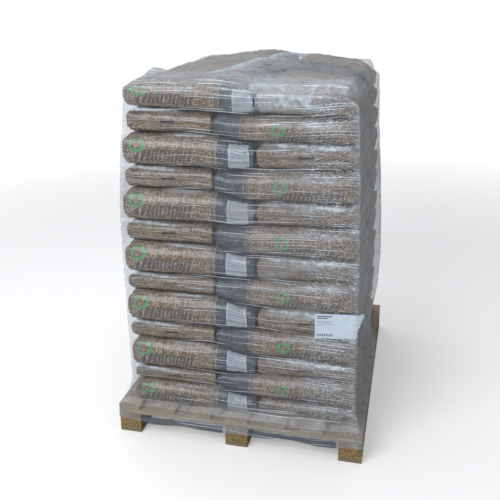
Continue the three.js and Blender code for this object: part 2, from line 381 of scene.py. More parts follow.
def make_block_material():
    material, tree, shader = start_material("pressed_chips", Specular_IOR_Level=0.2)
    x, y, z = object_place(tree).parts()
    wobble = noise(object_place(tree), 60.0, 2.0) * (4 * MM)
    flat = vector_of(x + wobble, y + wobble, z * 1.9 + wobble)
    tone = cells(flat, CHIP_SIZE, "Color").parts()[0]
    edge = cells(flat, CHIP_SIZE, "Distance", feature="DISTANCE_TO_EDGE")
    fine = noise(flat, 480.0, 3.0, 0.6)
    colour = blend(tone.rise(0.1, 0.9), (0.17, 0.11, 0.045), (0.32, 0.225, 0.105))
    colour = blend(fine.rise(0.5, 0.75) * 0.5, colour, (0.42, 0.32, 0.18))
    colour = blend(edge.rise(0.07, 0.0) * 0.6, colour, (0.07, 0.045, 0.02))
    # Darker in blotches towards the bottom of each block.
    low = z.rise(60 * MM, 18 * MM)
    darker_low_blotches = noise(object_place(tree), 14.0, 3.0).rise(0.4, 0.7)
    colour = blend(low * darker_low_blotches * 0.6, colour, (0.12, 0.09, 0.06))
    plug(shader.inputs["Base Color"], colour)
    plug(shader.inputs["Roughness"], 0.75 + 0.2 * fine.clamp())
    add_bump(shader, edge.rise(0.0, 0.2) + fine * 0.6 + tone * 0.4, 0.9 * MM, 0.9)
    return material


dress("block", make_block_material())
print("blocks dressed")

# %% [markdown]
# ## Nails
# Two nails hold each deck board to each board under it. Only their heads show, so each head is a
# small flat-domed disc that stands a fraction of a millimetre out of the wood. They are made in one
# mesh, because they are one kind of small fastener.

# %% Nail heads
NAIL_RADIUS = 4.2 * MM
NAIL_STAND = 0.25 * MM
NAIL_FROM_EDGE = 27 * MM
NAIL_FROM_MIDDLE = 18 * MM
NAIL_SIDES = 12
HEAD_RINGS = ((1.0, -1.0 * MM), (1.0, 0.0), (0.8, NAIL_STAND), (0.3, NAIL_STAND * 1.1))


def make_nail_material():
    material, tree, shader = start_material("nail_steel", Metallic=0.85)
    dull = noise(object_place(tree), 700.0, 3.0)
    plug(shader.inputs["Base Color"], blend(dull, (0.16, 0.13, 0.11), (0.45, 0.43, 0.41)))
    plug(shader.inputs["Roughness"], 0.35 + 0.4 * dull)
    return material


def add_nail_head(mesh, x, y, z):
    turns = [2 * math.pi * i / NAIL_SIDES for i in range(NAIL_SIDES)]
    rings = []
    for radius, height in HEAD_RINGS:
        reach = NAIL_RADIUS * radius
        places = [(x + reach * math.cos(turn), y + reach * math.sin(turn), z + height) for turn in turns]
        rings.append([mesh.verts.new(place) for place in places])
    for lower, upper in zip(rings, rings[1:]):
        for i in range(NAIL_SIDES):
            j = (i + 1) % NAIL_SIDES
            mesh.faces.new((lower[i], lower[j], upper[j], upper[i]))
    mesh.faces.new(rings[-1])
    mesh.faces.new(rings[0][::-1])


def nail_heads():
    mesh = bmesh.new()
    for board in range(1, 8):
        low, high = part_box(f"deck_board_{board}")
        for row in ("front", "middle", "back"):
            under_low, under_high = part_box(f"stringer_board_{row}")
            for side in (-1, 1):
                x = (low.x + high.x) / 2 + side * ((high.x - low.x) / 2 - NAIL_FROM_EDGE)
                y = (under_low.y + under_high.y) / 2 + side * NAIL_FROM_MIDDLE
                add_nail_head(mesh, x, y, high.z)
    data = bpy.data.meshes.new("deck_nails")
    mesh.to_mesh(data)
    mesh.free()
    return data


def add_piece(name, data, material):
    """Links a finished mesh as a piece that rides on the pallet's body."""
    piece = new_object(name, data)
    data.materials.append(material)
    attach(piece, BODY)
    return piece


nails = add_piece("deck_nails", nail_heads(), make_nail_material())
print("nail heads", len(nails.data.polygons), "faces")

# %% [markdown]
# ## One sack, pressed into its place
# A filled sack in a stack is a flat tube of film, welded at both ends, that its load pushes out until
# the sacks around it, above and below stop it. It could be modelled as a rounded block, but then the
# film would have no slack. Here the cloth simulation starts from a pillow inside a closed box, with a
# flat welded sheet as its rest shape, and a target volume blows it up against the box. Three such
# blanks with different seeds are made once, and mirrored copies of them give every sack its own look.

# %% The flat tube and its start shape
SACK_LENGTH, SACK_WIDTH, SACK_HEIGHT = 0.606, 0.404, 0.1112
FOLD_RADIUS = SACK_HEIGHT / 2
SLACK = 30 * MM
CELLS_LONG, CELLS_WIDE = 50, 36
FLAT_LENGTH = SACK_LENGTH - 2 * FOLD_RADIUS + math.pi * FOLD_RADIUS + SLACK
FLAT_WIDTH = SACK_WIDTH - 2 * FOLD_RADIUS + math.pi * FOLD_RADIUS + SLACK
START_ROUGHNESS = 1.5 * MM


def bent_over(share, half, flat):
    """Position and height share of a sheet's point that runs flat and then turns down an arc."""
    distance = np.abs(share) * flat / 2
    straight = half - FOLD_RADIUS
    over = np.clip(distance - straight, 0, None)
    turn = over / (flat / 2 - straight) * math.pi / 2
    place = np.where(distance < straight, distance, straight + FOLD_RADIUS * np.sin(turn))
    return np.sign(share) * place, np.where(distance < straight, 1.0, np.cos(turn))


def sheet_shares():
    long_share = np.linspace(-1, 1, CELLS_LONG + 1)[:, None] * np.ones(CELLS_WIDE + 1)
    wide_share = np.ones((CELLS_LONG + 1, 1)) * np.linspace(-1, 1, CELLS_WIDE + 1)
    return long_share, wide_share


def start_shape(seed):
    """Two sheets of points, upper and lower, as an array of 2 x long x wide x 3."""
    random = np.random.default_rng(seed)
    long_share, wide_share = sheet_shares()
    x, x_height = bent_over(long_share, 0.99 * SACK_LENGTH / 2, FLAT_LENGTH)
    y, y_height = bent_over(wide_share, 0.99 * SACK_WIDTH / 2, FLAT_WIDTH)
    height = 0.96 * FOLD_RADIUS * np.minimum(x_height, y_height)
    height *= 0.5 + 0.5 * np.maximum(x_height, y_height)
    rim = (np.abs(long_share) > 0.999) | (np.abs(wide_share) > 0.999)
    height[rim] = 0
    sheets = []
    for side in (1, -1):
        rough = random.normal(0, START_ROUGHNESS, height.shape)
        rough[rim] = 0
        sheets.append(np.stack([x, y, side * height + rough], axis=-1))
    return np.array(sheets), rim


def sheet_indices(rim):
    """Numbers the points so that both sheets share their rim."""
    upper = np.arange(rim.size).reshape(rim.shape)
    lower = np.zeros_like(upper)
    lower[~rim] = rim.size + np.arange((~rim).sum())
    lower[rim] = upper[rim]
    return np.array([upper, lower])


def sack_faces(indices):
    """Quads of both sheets, facing out, with the sheet, row and column of each corner."""
    sheet, i, j = np.indices(indices.shape)
    numbered = np.stack([indices, sheet, i, j], axis=-1)
    cells_up, cells_down = (corners_of(side).reshape(-1, 4, 4) for side in numbered)
    quads = np.concatenate([cells_up, cells_down[:, ::-1]])
    return quads[..., 0].tolist(), quads[..., 1:].reshape(-1, 3)


_, sack_rim = start_shape(0)
sack_indices = sheet_indices(sack_rim)
sack_quads, sack_corners = sack_faces(sack_indices)
print("flat tube", round(FLAT_LENGTH, 3), "x", round(FLAT_WIDTH, 3), "m,", len(sack_quads), "quads")


# %% Press it with cloth
SACK_LITRES = 23.5
PRESS_FRAMES = 15
BLANK_SEEDS = (4, 5, 6)


def flatten(sheets):
    points = np.zeros((sack_indices.max() + 1, 3))
    points[sack_indices] = sheets
    return points


def press_box():
    """A closed box whose faces look inwards, which the sack can't leave."""
    mesh = bmesh.new()
    bmesh.ops.create_cube(mesh, size=1)
    for vertex in mesh.verts:
        vertex.co = Vector(
            (vertex.co.x * SACK_LENGTH, vertex.co.y * SACK_WIDTH, vertex.co.z * SACK_HEIGHT)
        )
    bmesh.ops.subdivide_edges(mesh, edges=mesh.edges, cuts=2, use_grid_fill=True)
    bmesh.ops.reverse_faces(mesh, faces=mesh.faces)
    data = bpy.data.meshes.new("press")
    mesh.to_mesh(data)
    mesh.free()
    press = new_object("press", data)
    press.modifiers.new("stop", "COLLISION")
    press.collision.thickness_outer = 1 * MM
    press.collision.damping = 1
    press.collision.cloth_friction = 2
    return press


def pressed_blank(seed):
    """The sack's points after the simulation, as two sheets."""
    sheets, rim = start_shape(seed)
    blank = new_object("blank", new_mesh("blank", flatten(sheets), sack_quads))
    blank.shape_key_add(name="pressed")
    flat_key = blank.shape_key_add(name="flat")
    long_share, wide_share = sheet_shares()
    thin = np.where(rim, 0.0, 0.5 * MM)
    flat = [
        np.stack([long_share * FLAT_LENGTH / 2, wide_share * FLAT_WIDTH / 2, side * thin], axis=-1)
        for side in (1, -1)
    ]
    flat_key.data.foreach_set("co", flatten(np.array(flat)).ravel())
    cloth = blank.modifiers.new("cloth", "CLOTH")
    film = cloth.settings
    film.quality = 6
    film.mass = 0.1
    film.tension_stiffness = film.compression_stiffness = 60
    film.shear_stiffness = 5
    film.bending_stiffness = 0.05
    film.air_damping = 4
    film.rest_shape_key = flat_key
    film.use_pressure = film.use_pressure_volume = True
    film.uniform_pressure_force = 5
    film.target_volume = SACK_LITRES / 1000
    film.effector_weights.gravity = 0
    cloth.collision_settings.collision_quality = 3
    cloth.collision_settings.distance_min = 1 * MM
    cloth.point_cache.frame_end = PRESS_FRAMES
    for number in range(1, PRESS_FRAMES + 1):
        scene.frame_set(number)
    settled = blank.evaluated_get(bpy.context.evaluated_depsgraph_get()).data
    points = np.zeros(len(settled.vertices) * 3)
    settled.vertices.foreach_get("co", points)
    bpy.data.objects.remove(blank)
    return points.reshape(-1, 3)[sack_indices]


press = press_box()
blanks = [pressed_blank(seed) for seed in BLANK_SEEDS]
bpy.data.objects.remove(press)
scene.frame_set(1)
for points in blanks:
    print("blank reaches", np.abs(points).max(axis=(0, 1, 2)).round(4))

# %% [markdown]
# ## Folds that the box doesn't give
# The ends of the real sacks show folds that such a small simulation can't resolve: a slanting fold on
# each side of the weld, where the tube's corner is tucked in, small puckers along the weld, and
# shallow creases that run round the sack near its ends. Their depth is a sum of narrow valleys over
# the flat sheet, and each point moves in along the surface normal by that depth. The load sags, so
# the widest part of the sack lies below its middle, but the weld of the plain end stays above it.

# %% Folds and sag
TUCK_DEPTH, TUCK_HALF_WIDTH = 7 * MM, 9 * MM
PUCKER_DEPTH, PUCKER_REACH = 2.2 * MM, 34 * MM
CREASE_DEPTH, CREASE_HALF_WIDTH = 3.0 * MM, 7 * MM
CREASES_ROUND, CREASES_ALONG = 9, 5
TUCK_FROM, TUCK_TO = (0.085, 0.125), (0.075, 0.12)
RIPPLES = ((1.0, 170), (0.7, 283), (0.6, 97))
SAG = 5 * MM
WELD_LIFT, WELD_LIFT_REACH = 12 * MM, 30 * MM
FULL_LONG_SACK = {"end": (0.22, 0.6), "blunt_end": 0.38, "side": (0.36, 1.05), "blunt_side": 0.0}
FULL_END_ON_SACK = {"end": (0.36, 1.4), "blunt_end": 0.0, "side": (0.24, 0.6), "blunt_side": 0.38}
FULL_BAND_END, BLUNT_BAND_END = (0.24, 0.45), 0.2
FULLNESS_REACH, BLUNT_REACH = 0.13, 0.10


def distance_to_line(x, y, start, end):
    """Distance of each point to a straight segment."""
    run = np.array(end) - np.array(start)
    share = ((x - start[0]) * run[0] + (y - start[1]) * run[1]) / (run @ run)
    share = np.clip(share, 0, 1)
    return np.hypot(x - start[0] - share * run[0], y - start[1] - share * run[1])


def valley(x, y, start, end, half_width):
    """1 on a straight segment, less and less beside it."""
    return np.exp(-((distance_to_line(x, y, start, end) / half_width) ** 2))


def fold_depth(random):
    """How far each point of the upper or lower sheet lies inside the smooth sack."""
    long_share, wide_share = sheet_shares()
    from_plain_end = (long_share + 1) / 2 * FLAT_LENGTH
    across = wide_share * FLAT_WIDTH / 2
    depth = np.zeros_like(across)
    for end_distance in (from_plain_end, FLAT_LENGTH - from_plain_end):
        for side in (-1, 1):
            start = (0.0, random.uniform(*TUCK_FROM))
            corner = (random.uniform(*TUCK_TO), FLAT_WIDTH / 2 + 0.01)
            tuck = valley(end_distance, side * across, start, corner, TUCK_HALF_WIDTH)
            depth += TUCK_DEPTH * random.uniform(0.6, 1.1) * tuck
        phases = random.uniform(0, 6, len(RIPPLES))
        ripple = sum(
            strength * np.sin(across * beat + phase) for (strength, beat), phase in zip(RIPPLES, phases)
        )
        depth += PUCKER_DEPTH * 0.5 * (1 + ripple / 1.6) * np.exp(-end_distance / PUCKER_REACH)
    for _ in range(CREASES_ROUND):
        end = random.choice([0.0, FLAT_LENGTH])
        place = abs(end - random.uniform(0.05, 0.24))
        middle = random.choice([-1, 1]) * random.uniform(0.12, FLAT_WIDTH / 2)
        lean, reach = random.uniform(-0.05, 0.05), random.uniform(0.03, 0.09)
        start, end = (place - lean, middle - reach), (place + lean, middle + reach)
        depth += CREASE_DEPTH * random.uniform(0.4, 1.0) * valley(
            from_plain_end, across, start, end, CREASE_HALF_WIDTH
        )
    for _ in range(CREASES_ALONG):
        side = random.choice([-1, 1])
        place = random.uniform(0.1, FLAT_LENGTH - 0.1)
        reach = random.uniform(0.05, 0.13)
        level = side * (FLAT_WIDTH / 2 - random.uniform(0.01, 0.07))
        tilt = random.uniform(-0.012, 0.012)
        start, end = (place - reach, level - tilt), (place + reach, level + tilt)
        depth += CREASE_DEPTH * random.uniform(0.3, 0.8) * valley(
            from_plain_end, across, start, end, CREASE_HALF_WIDTH - 1 * MM
        )
    return depth


def sheet_normals(sheets):
    """Outward unit normals at every point of both sheets."""
    along = np.gradient(sheets, axis=1)
    across = np.gradient(sheets, axis=2)
    normals = np.cross(along, across)
    normals[1] *= -1
    length = np.linalg.norm(normals, axis=-1, keepdims=True)
    normals = normals / np.maximum(length, 1e-9)
    both = normals[0] + normals[1]
    rim_normals = both / np.maximum(np.linalg.norm(both, axis=-1, keepdims=True), 1e-9)
    for sheet in (0, 1):
        normals[sheet][sack_rim] = rim_normals[sack_rim]
    return normals


def filled_out(sheets, full):
    """Pushes the lower half of the flanks out, lets the upper half lean back and blunts the edges."""
    shaped = sheets.copy()
    level = smooth((sheets[..., 2] / FOLD_RADIUS + 0.15) / 0.9)
    flanks = (
        (0, -1, SACK_LENGTH / 2, full["end"], full["blunt_end"]),
        (0, 1, SACK_LENGTH / 2, FULL_BAND_END, BLUNT_BAND_END),
        (1, -1, SACK_WIDTH / 2, full["side"], full["blunt_side"]),
        (1, 1, SACK_WIDTH / 2, full["side"], full["blunt_side"]),
    )
    for axis, side, half, (lower, upper), blunt in flanks:
        fullness = lower + (upper - lower) * level
        inside = half - side * sheets[..., axis]
        kept = fullness + (1 - fullness) * smooth(inside / FULLNESS_REACH)
        moved = side * (half - inside * kept)
        outer = side * sheets[..., axis] > 0
        shaped[..., axis] = np.where(outer, moved, shaped[..., axis])
        height = shaped[..., 2] / FOLD_RADIUS
        power = 1 - blunt * (1 - smooth(inside / BLUNT_REACH)) * outer
        shaped[..., 2] = np.sign(height) * np.abs(height) ** power * FOLD_RADIUS
    return shaped


def folded(sheets, random):
    depths = np.array([fold_depth(random), fold_depth(random)])
    rim_depth = depths.mean(axis=0)
    for sheet in (0, 1):
        depths[sheet][sack_rim] = rim_depth[sack_rim]
    shaped = sheets - sheet_normals(sheets) * depths[..., None]
    height = shaped[..., 2] / FOLD_RADIUS
    from_end = np.clip(SACK_LENGTH / 2 + shaped[..., 0], 0, None)
    lift = WELD_LIFT * np.exp(-from_end / WELD_LIFT_REACH) - SAG
    shaped[..., 2] += lift * np.clip(1 - height**2, 0, 1)
    return shaped


def turned_blank(number, full, random):
    """One of the blanks, mirrored at random along, across and up, with its own folds."""
    sheets = blanks[number % len(blanks)].copy()
    if random.random() < 0.5:
        sheets = sheets[:, ::-1] * (-1, 1, 1)
    if random.random() < 0.5:
        sheets = sheets[:, :, ::-1] * (1, -1, 1)
    if random.random() < 0.5:
        sheets = sheets[::-1] * (1, 1, -1)
    return folded(filled_out(sheets, full), random)


trial = turned_blank(0, FULL_END_ON_SACK, np.random.default_rng(1))
print("folded sack reaches", np.abs(trial).max(axis=(0, 1, 2)).round(4))

# %% [markdown]
# ## The welded end
# Beyond the weld the two layers of film run on as a narrow flap. The wrap has pressed it down against
# the end of the sack. It is a thin closed strip that starts in the weld line, turns down and follows
# the end, with a slight wave. A dark stamp sits in its middle, which the material draws.

# %% Welded flap
FLAP_PATH = ((2.0, 0.4), (-1.4, -0.3), (-2.2, -3.6), (-2.3, -8.0), (-1.2, -13.0))
FLAP_THICKNESS, FLAP_INNER_DROP = 0.9 * MM, -0.3 * MM
FLAP_FIRST, FLAP_LAST = 3, CELLS_WIDE - 3


def welded_flap(sheets, random):
    """Points and quads of the flap at the plain end, with each point's share along its path."""
    weld = sheets[0][0][FLAP_FIRST : FLAP_LAST + 1]
    count = len(weld)
    wave = np.interp(np.arange(count), np.linspace(0, count, 9), random.normal(0, 0.7 * MM, 9))
    rings, shares = [], []
    steps = len(FLAP_PATH)
    for outer in (1, 0):
        for step in range(steps)[:: 1 if outer else -1]:
            x, z = FLAP_PATH[step]
            share = step / (steps - 1)
            ring = weld.copy()
            ring[:, 0] += x * MM - outer * FLAP_THICKNESS + wave * share
            ring[:, 2] += z * MM + (0 if outer else FLAP_INNER_DROP)
            rings.append(ring)
            shares.append(share)
    index = np.arange(2 * steps * count).reshape(2 * steps, count)
    quads = corners_of(np.concatenate([index, index[:1]])).reshape(-1, 4).tolist()
    for k, way in ((0, 1), (count - 1, -1)):
        front, back = index[:steps, k], index[steps:, k][::-1]
        ends = np.stack([front[:-1], back[:-1], back[1:], front[1:]], axis=1)
        quads += ends[:, ::way].tolist()
    return np.concatenate(rings), quads, np.repeat(shares, count), np.tile(np.arange(count), 2 * steps)


flap_points, flap_quads, _, _ = welded_flap(trial, np.random.default_rng(2))
print("flap", len(flap_points), "points,", len(flap_quads), "quads")

# %% [markdown]
# ## Pellets behind the film
# The sacks are filled with wood pellets, short rods about 6 mm thick and up to 20 mm long, which lie
# in every direction and show through the clear film. Modelling a thousand rods for each sack would
# swamp the file, so the rods are drawn by the material: a Voronoi pattern gives one rod for each
# cell, turned by the cell's random colour, and three such layers lie on top of each other. Each layer
# returns where it covers, how high the rod stands and its tone.

# %% Pellet layer group
ROD_HALF_LENGTH, ROD_HALF_WIDTH = 0.60, 0.235


def make_pellet_layer():
    given, output = start_group(
        "pellet_layer",
        {"Place": (VECTOR, None), "Shift": (VALUE, 0.0), "Cell": (VALUE, 0.014)},
        {"Cover": VALUE, "Height": VALUE, "Tone": VALUE},
    )
    u, v, _ = given["Place"].parts()
    place = vector_of((u + given["Shift"]) / given["Cell"], (v - given["Shift"]) / given["Cell"])
    centre_u, centre_v, _ = cells(place, 1.0, "Position", voronoi_dimensions="2D").parts()
    turn, tone, _ = cells(place, 1.0, "Color", voronoi_dimensions="2D").parts()
    cell_u, cell_v, _ = place.parts()
    offset_u, offset_v = cell_u - centre_u, cell_v - centre_v
    angle = turn * math.pi
    cosine, sine = angle.math("COSINE"), angle.math("SINE")
    along = abs(offset_u * cosine + offset_v * sine)
    across = abs(offset_v * cosine - offset_u * sine) / ROD_HALF_WIDTH
    roundness = (1.0 - across * across).root()
    cover = across.rise(1.0, 0.86) * along.rise(ROD_HALF_LENGTH, ROD_HALF_LENGTH - 0.06)
    return end_group(output, Cover=cover, Height=roundness * cover, Tone=tone)


pellet_layer = make_pellet_layer()
print("pellet layer group", len(pellet_layer.nodes), "nodes")

# %% Loose pellets group
PELLET_SHIFTS = (0.0, 0.317, 0.731)
PELLET_DARK, PELLET_LIGHT = (0.100, 0.068, 0.040), (0.42, 0.33, 0.23)
PELLET_MIDDLE = (0.205, 0.147, 0.094)


def make_loose_pellets():
    given, output = start_group(
        "loose_pellets",
        {"Place": (VECTOR, None), "Cell": (VALUE, 0.014)},
        {"Colour": COLOUR, "Height": VALUE},
    )
    patch = noise(given["Place"], 26.0, 2.0)
    # Painted shade: the ground between the rods is nearly black, as shade falls into the gaps of the pile.
    colour = blend(patch, (0.045, 0.03, 0.018), (0.08, 0.053, 0.033))
    height = 0.0 * patch
    for level, shift in enumerate(PELLET_SHIFTS):
        layer = use_group(pellet_layer, Place=given["Place"], Shift=shift, Cell=given["Cell"])
        tone = layer["Tone"]
        rod = blend(tone.rise(0.0, 0.55), PELLET_DARK, PELLET_MIDDLE)
        rod = blend(tone.rise(0.55, 1.0), rod, PELLET_LIGHT)
        # Painted shade: each rod is darker towards its sides, as light falls on a round rod.
        shade = layer["Height"].rise(0.0, 1.0) * 0.65 + 0.35
        rod = blend(1.0, rod, vector_of(shade, shade, shade), kind="MULTIPLY")
        colour = blend(layer["Cover"], colour, rod)
        raised = layer["Height"] * 0.5 + 0.25 * level
        height = height.math("MAXIMUM", raised * layer["Cover"])
    return end_group(output, Colour=colour, Height=height)


loose_pellets = make_loose_pellets()
print("loose pellets group", len(loose_pellets.nodes), "nodes")

# %% [markdown]
# ## Printing on the sack film
# The clear film carries a plain print: a green ring and a row of slanted dark bars on each long side,
# a slate band with pin stripes round the inner end, a white panel with plain lines on the band, a
# faded red block on each broad face, and a short dark stamp on the welded flap. The print is placed
# in millimetres on the film, which the sack meshes carry as two UV maps: the run from the plain end
# with the height round the side, and the run in reading order with the share across the sack.

# %% Print group
DISC_CENTRE, DISC_RADIUS, DISC_HOLE = (115 * MM, 25 * MM), 29 * MM, 0.60
BARS_START, BARS_END, BARS_PITCH = 112 * MM, 334 * MM, 17 * MM
BARS_LOW, BARS_HIGH, BARS_SLANT = -46 * MM, 10 * MM, 0.22
BAND_MIDDLE, BAND_SLANT = 473 * MM, 32 * MM
PIN_STRIPES = ((-20, -18), (-15, -13), (-10, -7))
PANEL_RUN, PANEL_HALF_HEIGHT, PANEL_RIM = (488 * MM, 556 * MM), 62 * MM, 5 * MM
PANEL_LINE_PITCH, PANEL_LINE_INSET, PANEL_LEAN = 14 * MM, 7 * MM, 0.12
HEAVY_LINES = ((-22, -18), (-30, -27))
DASH_RUN, DASH_GIRTH, DASH_PITCH = (464 * MM, 480 * MM), (-44 * MM, 8 * MM), 18 * MM
STAMP_RUN, STAMP_STEP = (-12.5 * MM, -3.5 * MM), 1.5 * MM
EDGE_SOFT, FADED_SOFT = 0.8 * MM, 6 * MM
STAMP_SHARE = 0.14
FADED_RUN, FADED_GIRTH = (150 * MM, 360 * MM), (120 * MM, 185 * MM)


def make_sack_print():
    given, output = start_group(
        "sack_print",
        {"Film": (VECTOR, None), "Reading": (VECTOR, None)},
        {"Green": VALUE, "Dark": VALUE, "Slate": VALUE, "White": VALUE, "Stamp": VALUE, "Red": VALUE},
    )
    run, girth, _ = given["Film"].parts()
    read, share, _ = given["Reading"].parts()
    soft = EDGE_SOFT
    off_run, off_girth = read - DISC_CENTRE[0], girth - DISC_CENTRE[1]
    off_disc = (off_run * off_run + off_girth * off_girth).root()
    green = off_disc.rise(DISC_RADIUS, DISC_RADIUS - soft)
    green = green * off_disc.rise(DISC_RADIUS * DISC_HOLE, DISC_RADIUS * DISC_HOLE + soft)
    slanted = read - girth * BARS_SLANT
    beat = (slanted / BARS_PITCH).math("FRACT")
    bars = beat.inside(0.10, 0.62, 0.03) * girth.inside(BARS_LOW, BARS_HIGH, soft)
    bars = bars * slanted.inside(BARS_START, BARS_END, soft)
    far_side = share.rise(-0.35, 0.35)
    into_band = run - far_side * (2 * BAND_SLANT) - (BAND_MIDDLE - BAND_SLANT)
    slate = into_band.rise(0.0, soft)
    for low, high in PIN_STRIPES:
        slate = slate.math("MAXIMUM", into_band.inside(low * MM, high * MM, 0.4 * MM))
    on_panel = run.inside(*PANEL_RUN, soft) * girth.inside(-PANEL_HALF_HEIGHT, PANEL_HALF_HEIGHT, soft)
    on_panel = on_panel * (1.0 - far_side)
    lines = ((girth + run * PANEL_LEAN) / PANEL_LINE_PITCH).math("FRACT").inside(0.28, 0.62, 0.06)
    lines = lines * run.inside(PANEL_RUN[0] + PANEL_LINE_INSET, PANEL_RUN[1] - PANEL_LINE_INSET, soft)
    heavy = sum(girth.inside(low * MM, high * MM, soft) for low, high in HEAVY_LINES)
    dashes = run.inside(*DASH_RUN, soft) * girth.inside(*DASH_GIRTH, soft)
    dashes = dashes * (girth / DASH_PITCH).math("FRACT").inside(0.2, 0.75, 0.03) * (1.0 - far_side)
    lower_half = share.rise(-0.01, 0.01) * STAMP_STEP
    stamp = (run + lower_half).inside(*STAMP_RUN, 0.3 * MM)
    stamp = stamp * abs(share).rise(STAMP_SHARE, STAMP_SHARE - 0.01) * run.rise(0.0, -0.5 * MM)
    dark = bars.math("MAXIMUM", dashes * 0.8)
    red = run.inside(*FADED_RUN, FADED_SOFT) * girth.inside(*FADED_GIRTH, FADED_SOFT)
    inner_half = PANEL_HALF_HEIGHT - PANEL_RIM
    inside_rim = run.inside(PANEL_RUN[0] + PANEL_RIM, PANEL_RUN[1] - PANEL_RIM, soft)
    inside_rim = inside_rim * girth.inside(-inner_half, inner_half, soft)
    lines = lines * girth.rise(-4 * MM, 0.0)
    inked = on_panel * (lines * 0.55 + heavy + inside_rim * 0.15).clamp()
    white = on_panel * (1.0 - inked * 0.8)
    return end_group(output, Green=green, Dark=dark, Slate=slate, White=white, Stamp=stamp, Red=red)


sack_print = make_sack_print()
print("print group", len(sack_print.nodes), "nodes")

# %% [markdown]
# ## Sack film over pellets
# The film lies tight on the pellets low on the sack and stands off them near the top and along the
# creases, where it looks milky. So the colour is pellets, then ink, then a haze that depends on the
# height round the side and on noise. The gloss is a coat over the whole surface.

# %% Sack material
HAZE_COLOUR = (0.40, 0.43, 0.48)
PELLET_CELL = 0.0088
BLACK_INK, GREEN_INK, RED_INK = (0.040, 0.047, 0.062), (0.035, 0.27, 0.09), (0.36, 0.10, 0.05)
WHITE_INK, STAMP_INK = (0.40, 0.46, 0.52), (0.012, 0.013, 0.017)


def make_sack_material():
    material, tree, shader = start_material("sack_film", Coat_Roughness=0.16, Specular_IOR_Level=0.35)
    film, reading = map_place(tree, "sack_run"), map_place(tree, "sack_reading")
    pellets = use_group(loose_pellets, Place=film, Cell=PELLET_CELL)
    inks = use_group(sack_print, Film=film, Reading=reading)
    run, girth, _ = film.parts()
    wear = noise(film, 260.0, 2.0).rise(0.30, 0.42)
    colour = pellets["Colour"]
    gathers = noise(vector_of(run * 5.0 + girth * 0.7, girth), 34.0, 3.0, 0.6).rise(0.35, 0.72)
    slate_tone = blend(gathers, (0.011, 0.019, 0.036), (0.056, 0.082, 0.130))
    colour = blend(inks["Slate"] * 0.95, colour, slate_tone)
    colour = blend(inks["Dark"] * (0.25 + 0.75 * wear) * 0.92, colour, BLACK_INK)
    colour = blend(inks["Green"] * wear * 0.9, colour, GREEN_INK)
    colour = blend(inks["Red"] * wear * 0.6, colour, RED_INK)
    colour = blend(inks["White"] * 0.93, colour, WHITE_INK)
    cloud = noise(vector_of(run, girth * 2.2), 13.0, 3.0, 0.6)
    upper = girth.rise(0.0, 70 * MM) * 0.16
    haze = (cloud.rise(0.55, 0.80) * 0.22 + upper * cloud.rise(0.35, 0.65) + 0.02).clamp()
    haze = haze * (1.0 - inks["Slate"] * 0.5)
    colour = blend(haze, colour, HAZE_COLOUR)
    plug(shader.inputs["Base Color"], blend(inks["Stamp"], colour, STAMP_INK))
    plug(shader.inputs["Roughness"], 0.55 - 0.2 * haze)
    plug(shader.inputs["Coat Weight"], 0.30 + 0.3 * cloud.clamp())
    dints = noise(film, 60.0, 3.0, 0.55)
    covered = 1.0 - inks["Slate"] * 0.55
    relief_height = pellets["Height"] * covered * 0.6 + dints * 0.9 + gathers * inks["Slate"] * 0.8
    add_bump(shader, relief_height, 2.2 * MM, 0.8)
    return material


sack_film = make_sack_material()
print("sack material", len(sack_film.node_tree.nodes), "nodes")

# %% [markdown]
# ## Stacking sixty-five sacks
# Each layer has three sacks across the width and two along the depth, and it is turned half round on
# the one below. Every sack lies with its plain end outwards. The sacks keep a few millimetres from
# their neighbours and the two kinds stand back from the stack's faces by slightly different amounts.
# A sack seen from its long side bulges more than the ends beside it, so the joints between the
# layers are not level: every second one steps down to the right. The five on top are domed.

# %% Layer layout
JOINTS_LEFT = (138, 247, 322, 458, 545, 686, 772, 911, 1007, 1145, 1242, 1377, 1475, 1583)
JOINTS_RIGHT = (138, 227, 343, 430, 552, 658, 787, 888, 1018, 1117, 1249, 1354, 1458, 1568)
LAYERS, SACKS_IN_LAYER = len(JOINTS_LEFT) - 1, 5
STEP_FROM, STEP_TO = -0.09, 0.03
SLOPE_FROM, SLOPE_TO = -0.30, 0.27
BAND_DIP, BAND_DIP_FROM, BAND_DIP_PLACE, BAND_DIP_REACH = 10 * MM, 7, -0.02, 0.07
TOP_PILLOW = 9 * MM
LONG_SHARES = (0.580, 0.608)
LEFT_STANDS_BACK = (8, 7, 0, 0, -8, -4, -9, -2, -9, -4, -9, 6, -4)
RIGHT_STANDS_BACK = (-4, 0, -6, -3, -7, -3, -7, -3, -7, -3, -6, -3, 0)
END_ON_STANDS_BACK = {"left": 14 * MM, "right": 7 * MM}
CROWN_HEIGHT, CROWN_MIDDLE, CROWN_SPREAD = 54 * MM, (0.0, 0.45), (0.34, 0.60)
FALL_START, FALL_REACH, FALL_DEPTH, FALL_POWER = 0.37, 0.12, 50 * MM, 1.2
TOP_SEAM_DIP, TOP_SEAM_REACH = 16 * MM, 70 * MM


def joint_height(layer, x=0.0):
    """Height of the joint under a layer at a distance from the stack's axis."""
    left, right = JOINTS_LEFT[layer] * MM, JOINTS_RIGHT[layer] * MM
    if layer % 2:
        return left + (right - left) * smooth((x - STEP_FROM) / (STEP_TO - STEP_FROM))
    level = left + (right - left) * np.clip((x - SLOPE_FROM) / (SLOPE_TO - SLOPE_FROM), -0.3, 1.3)
    dip = BAND_DIP if layer > BAND_DIP_FROM else 0.0
    return level - dip * np.exp(-(((x - BAND_DIP_PLACE) / BAND_DIP_REACH) ** 2))


def crown_height(x, y):
    """How much higher the top lies at a place of the stack than at its front left."""
    away_x, away_y = (x - CROWN_MIDDLE[0]) / CROWN_SPREAD[0], (y - CROWN_MIDDLE[1]) / CROWN_SPREAD[1]
    fallen = np.clip((x - FALL_START) / FALL_REACH, 0, None)
    return CROWN_HEIGHT * np.exp(-(away_x**2) - away_y**2) - FALL_DEPTH * fallen**FALL_POWER


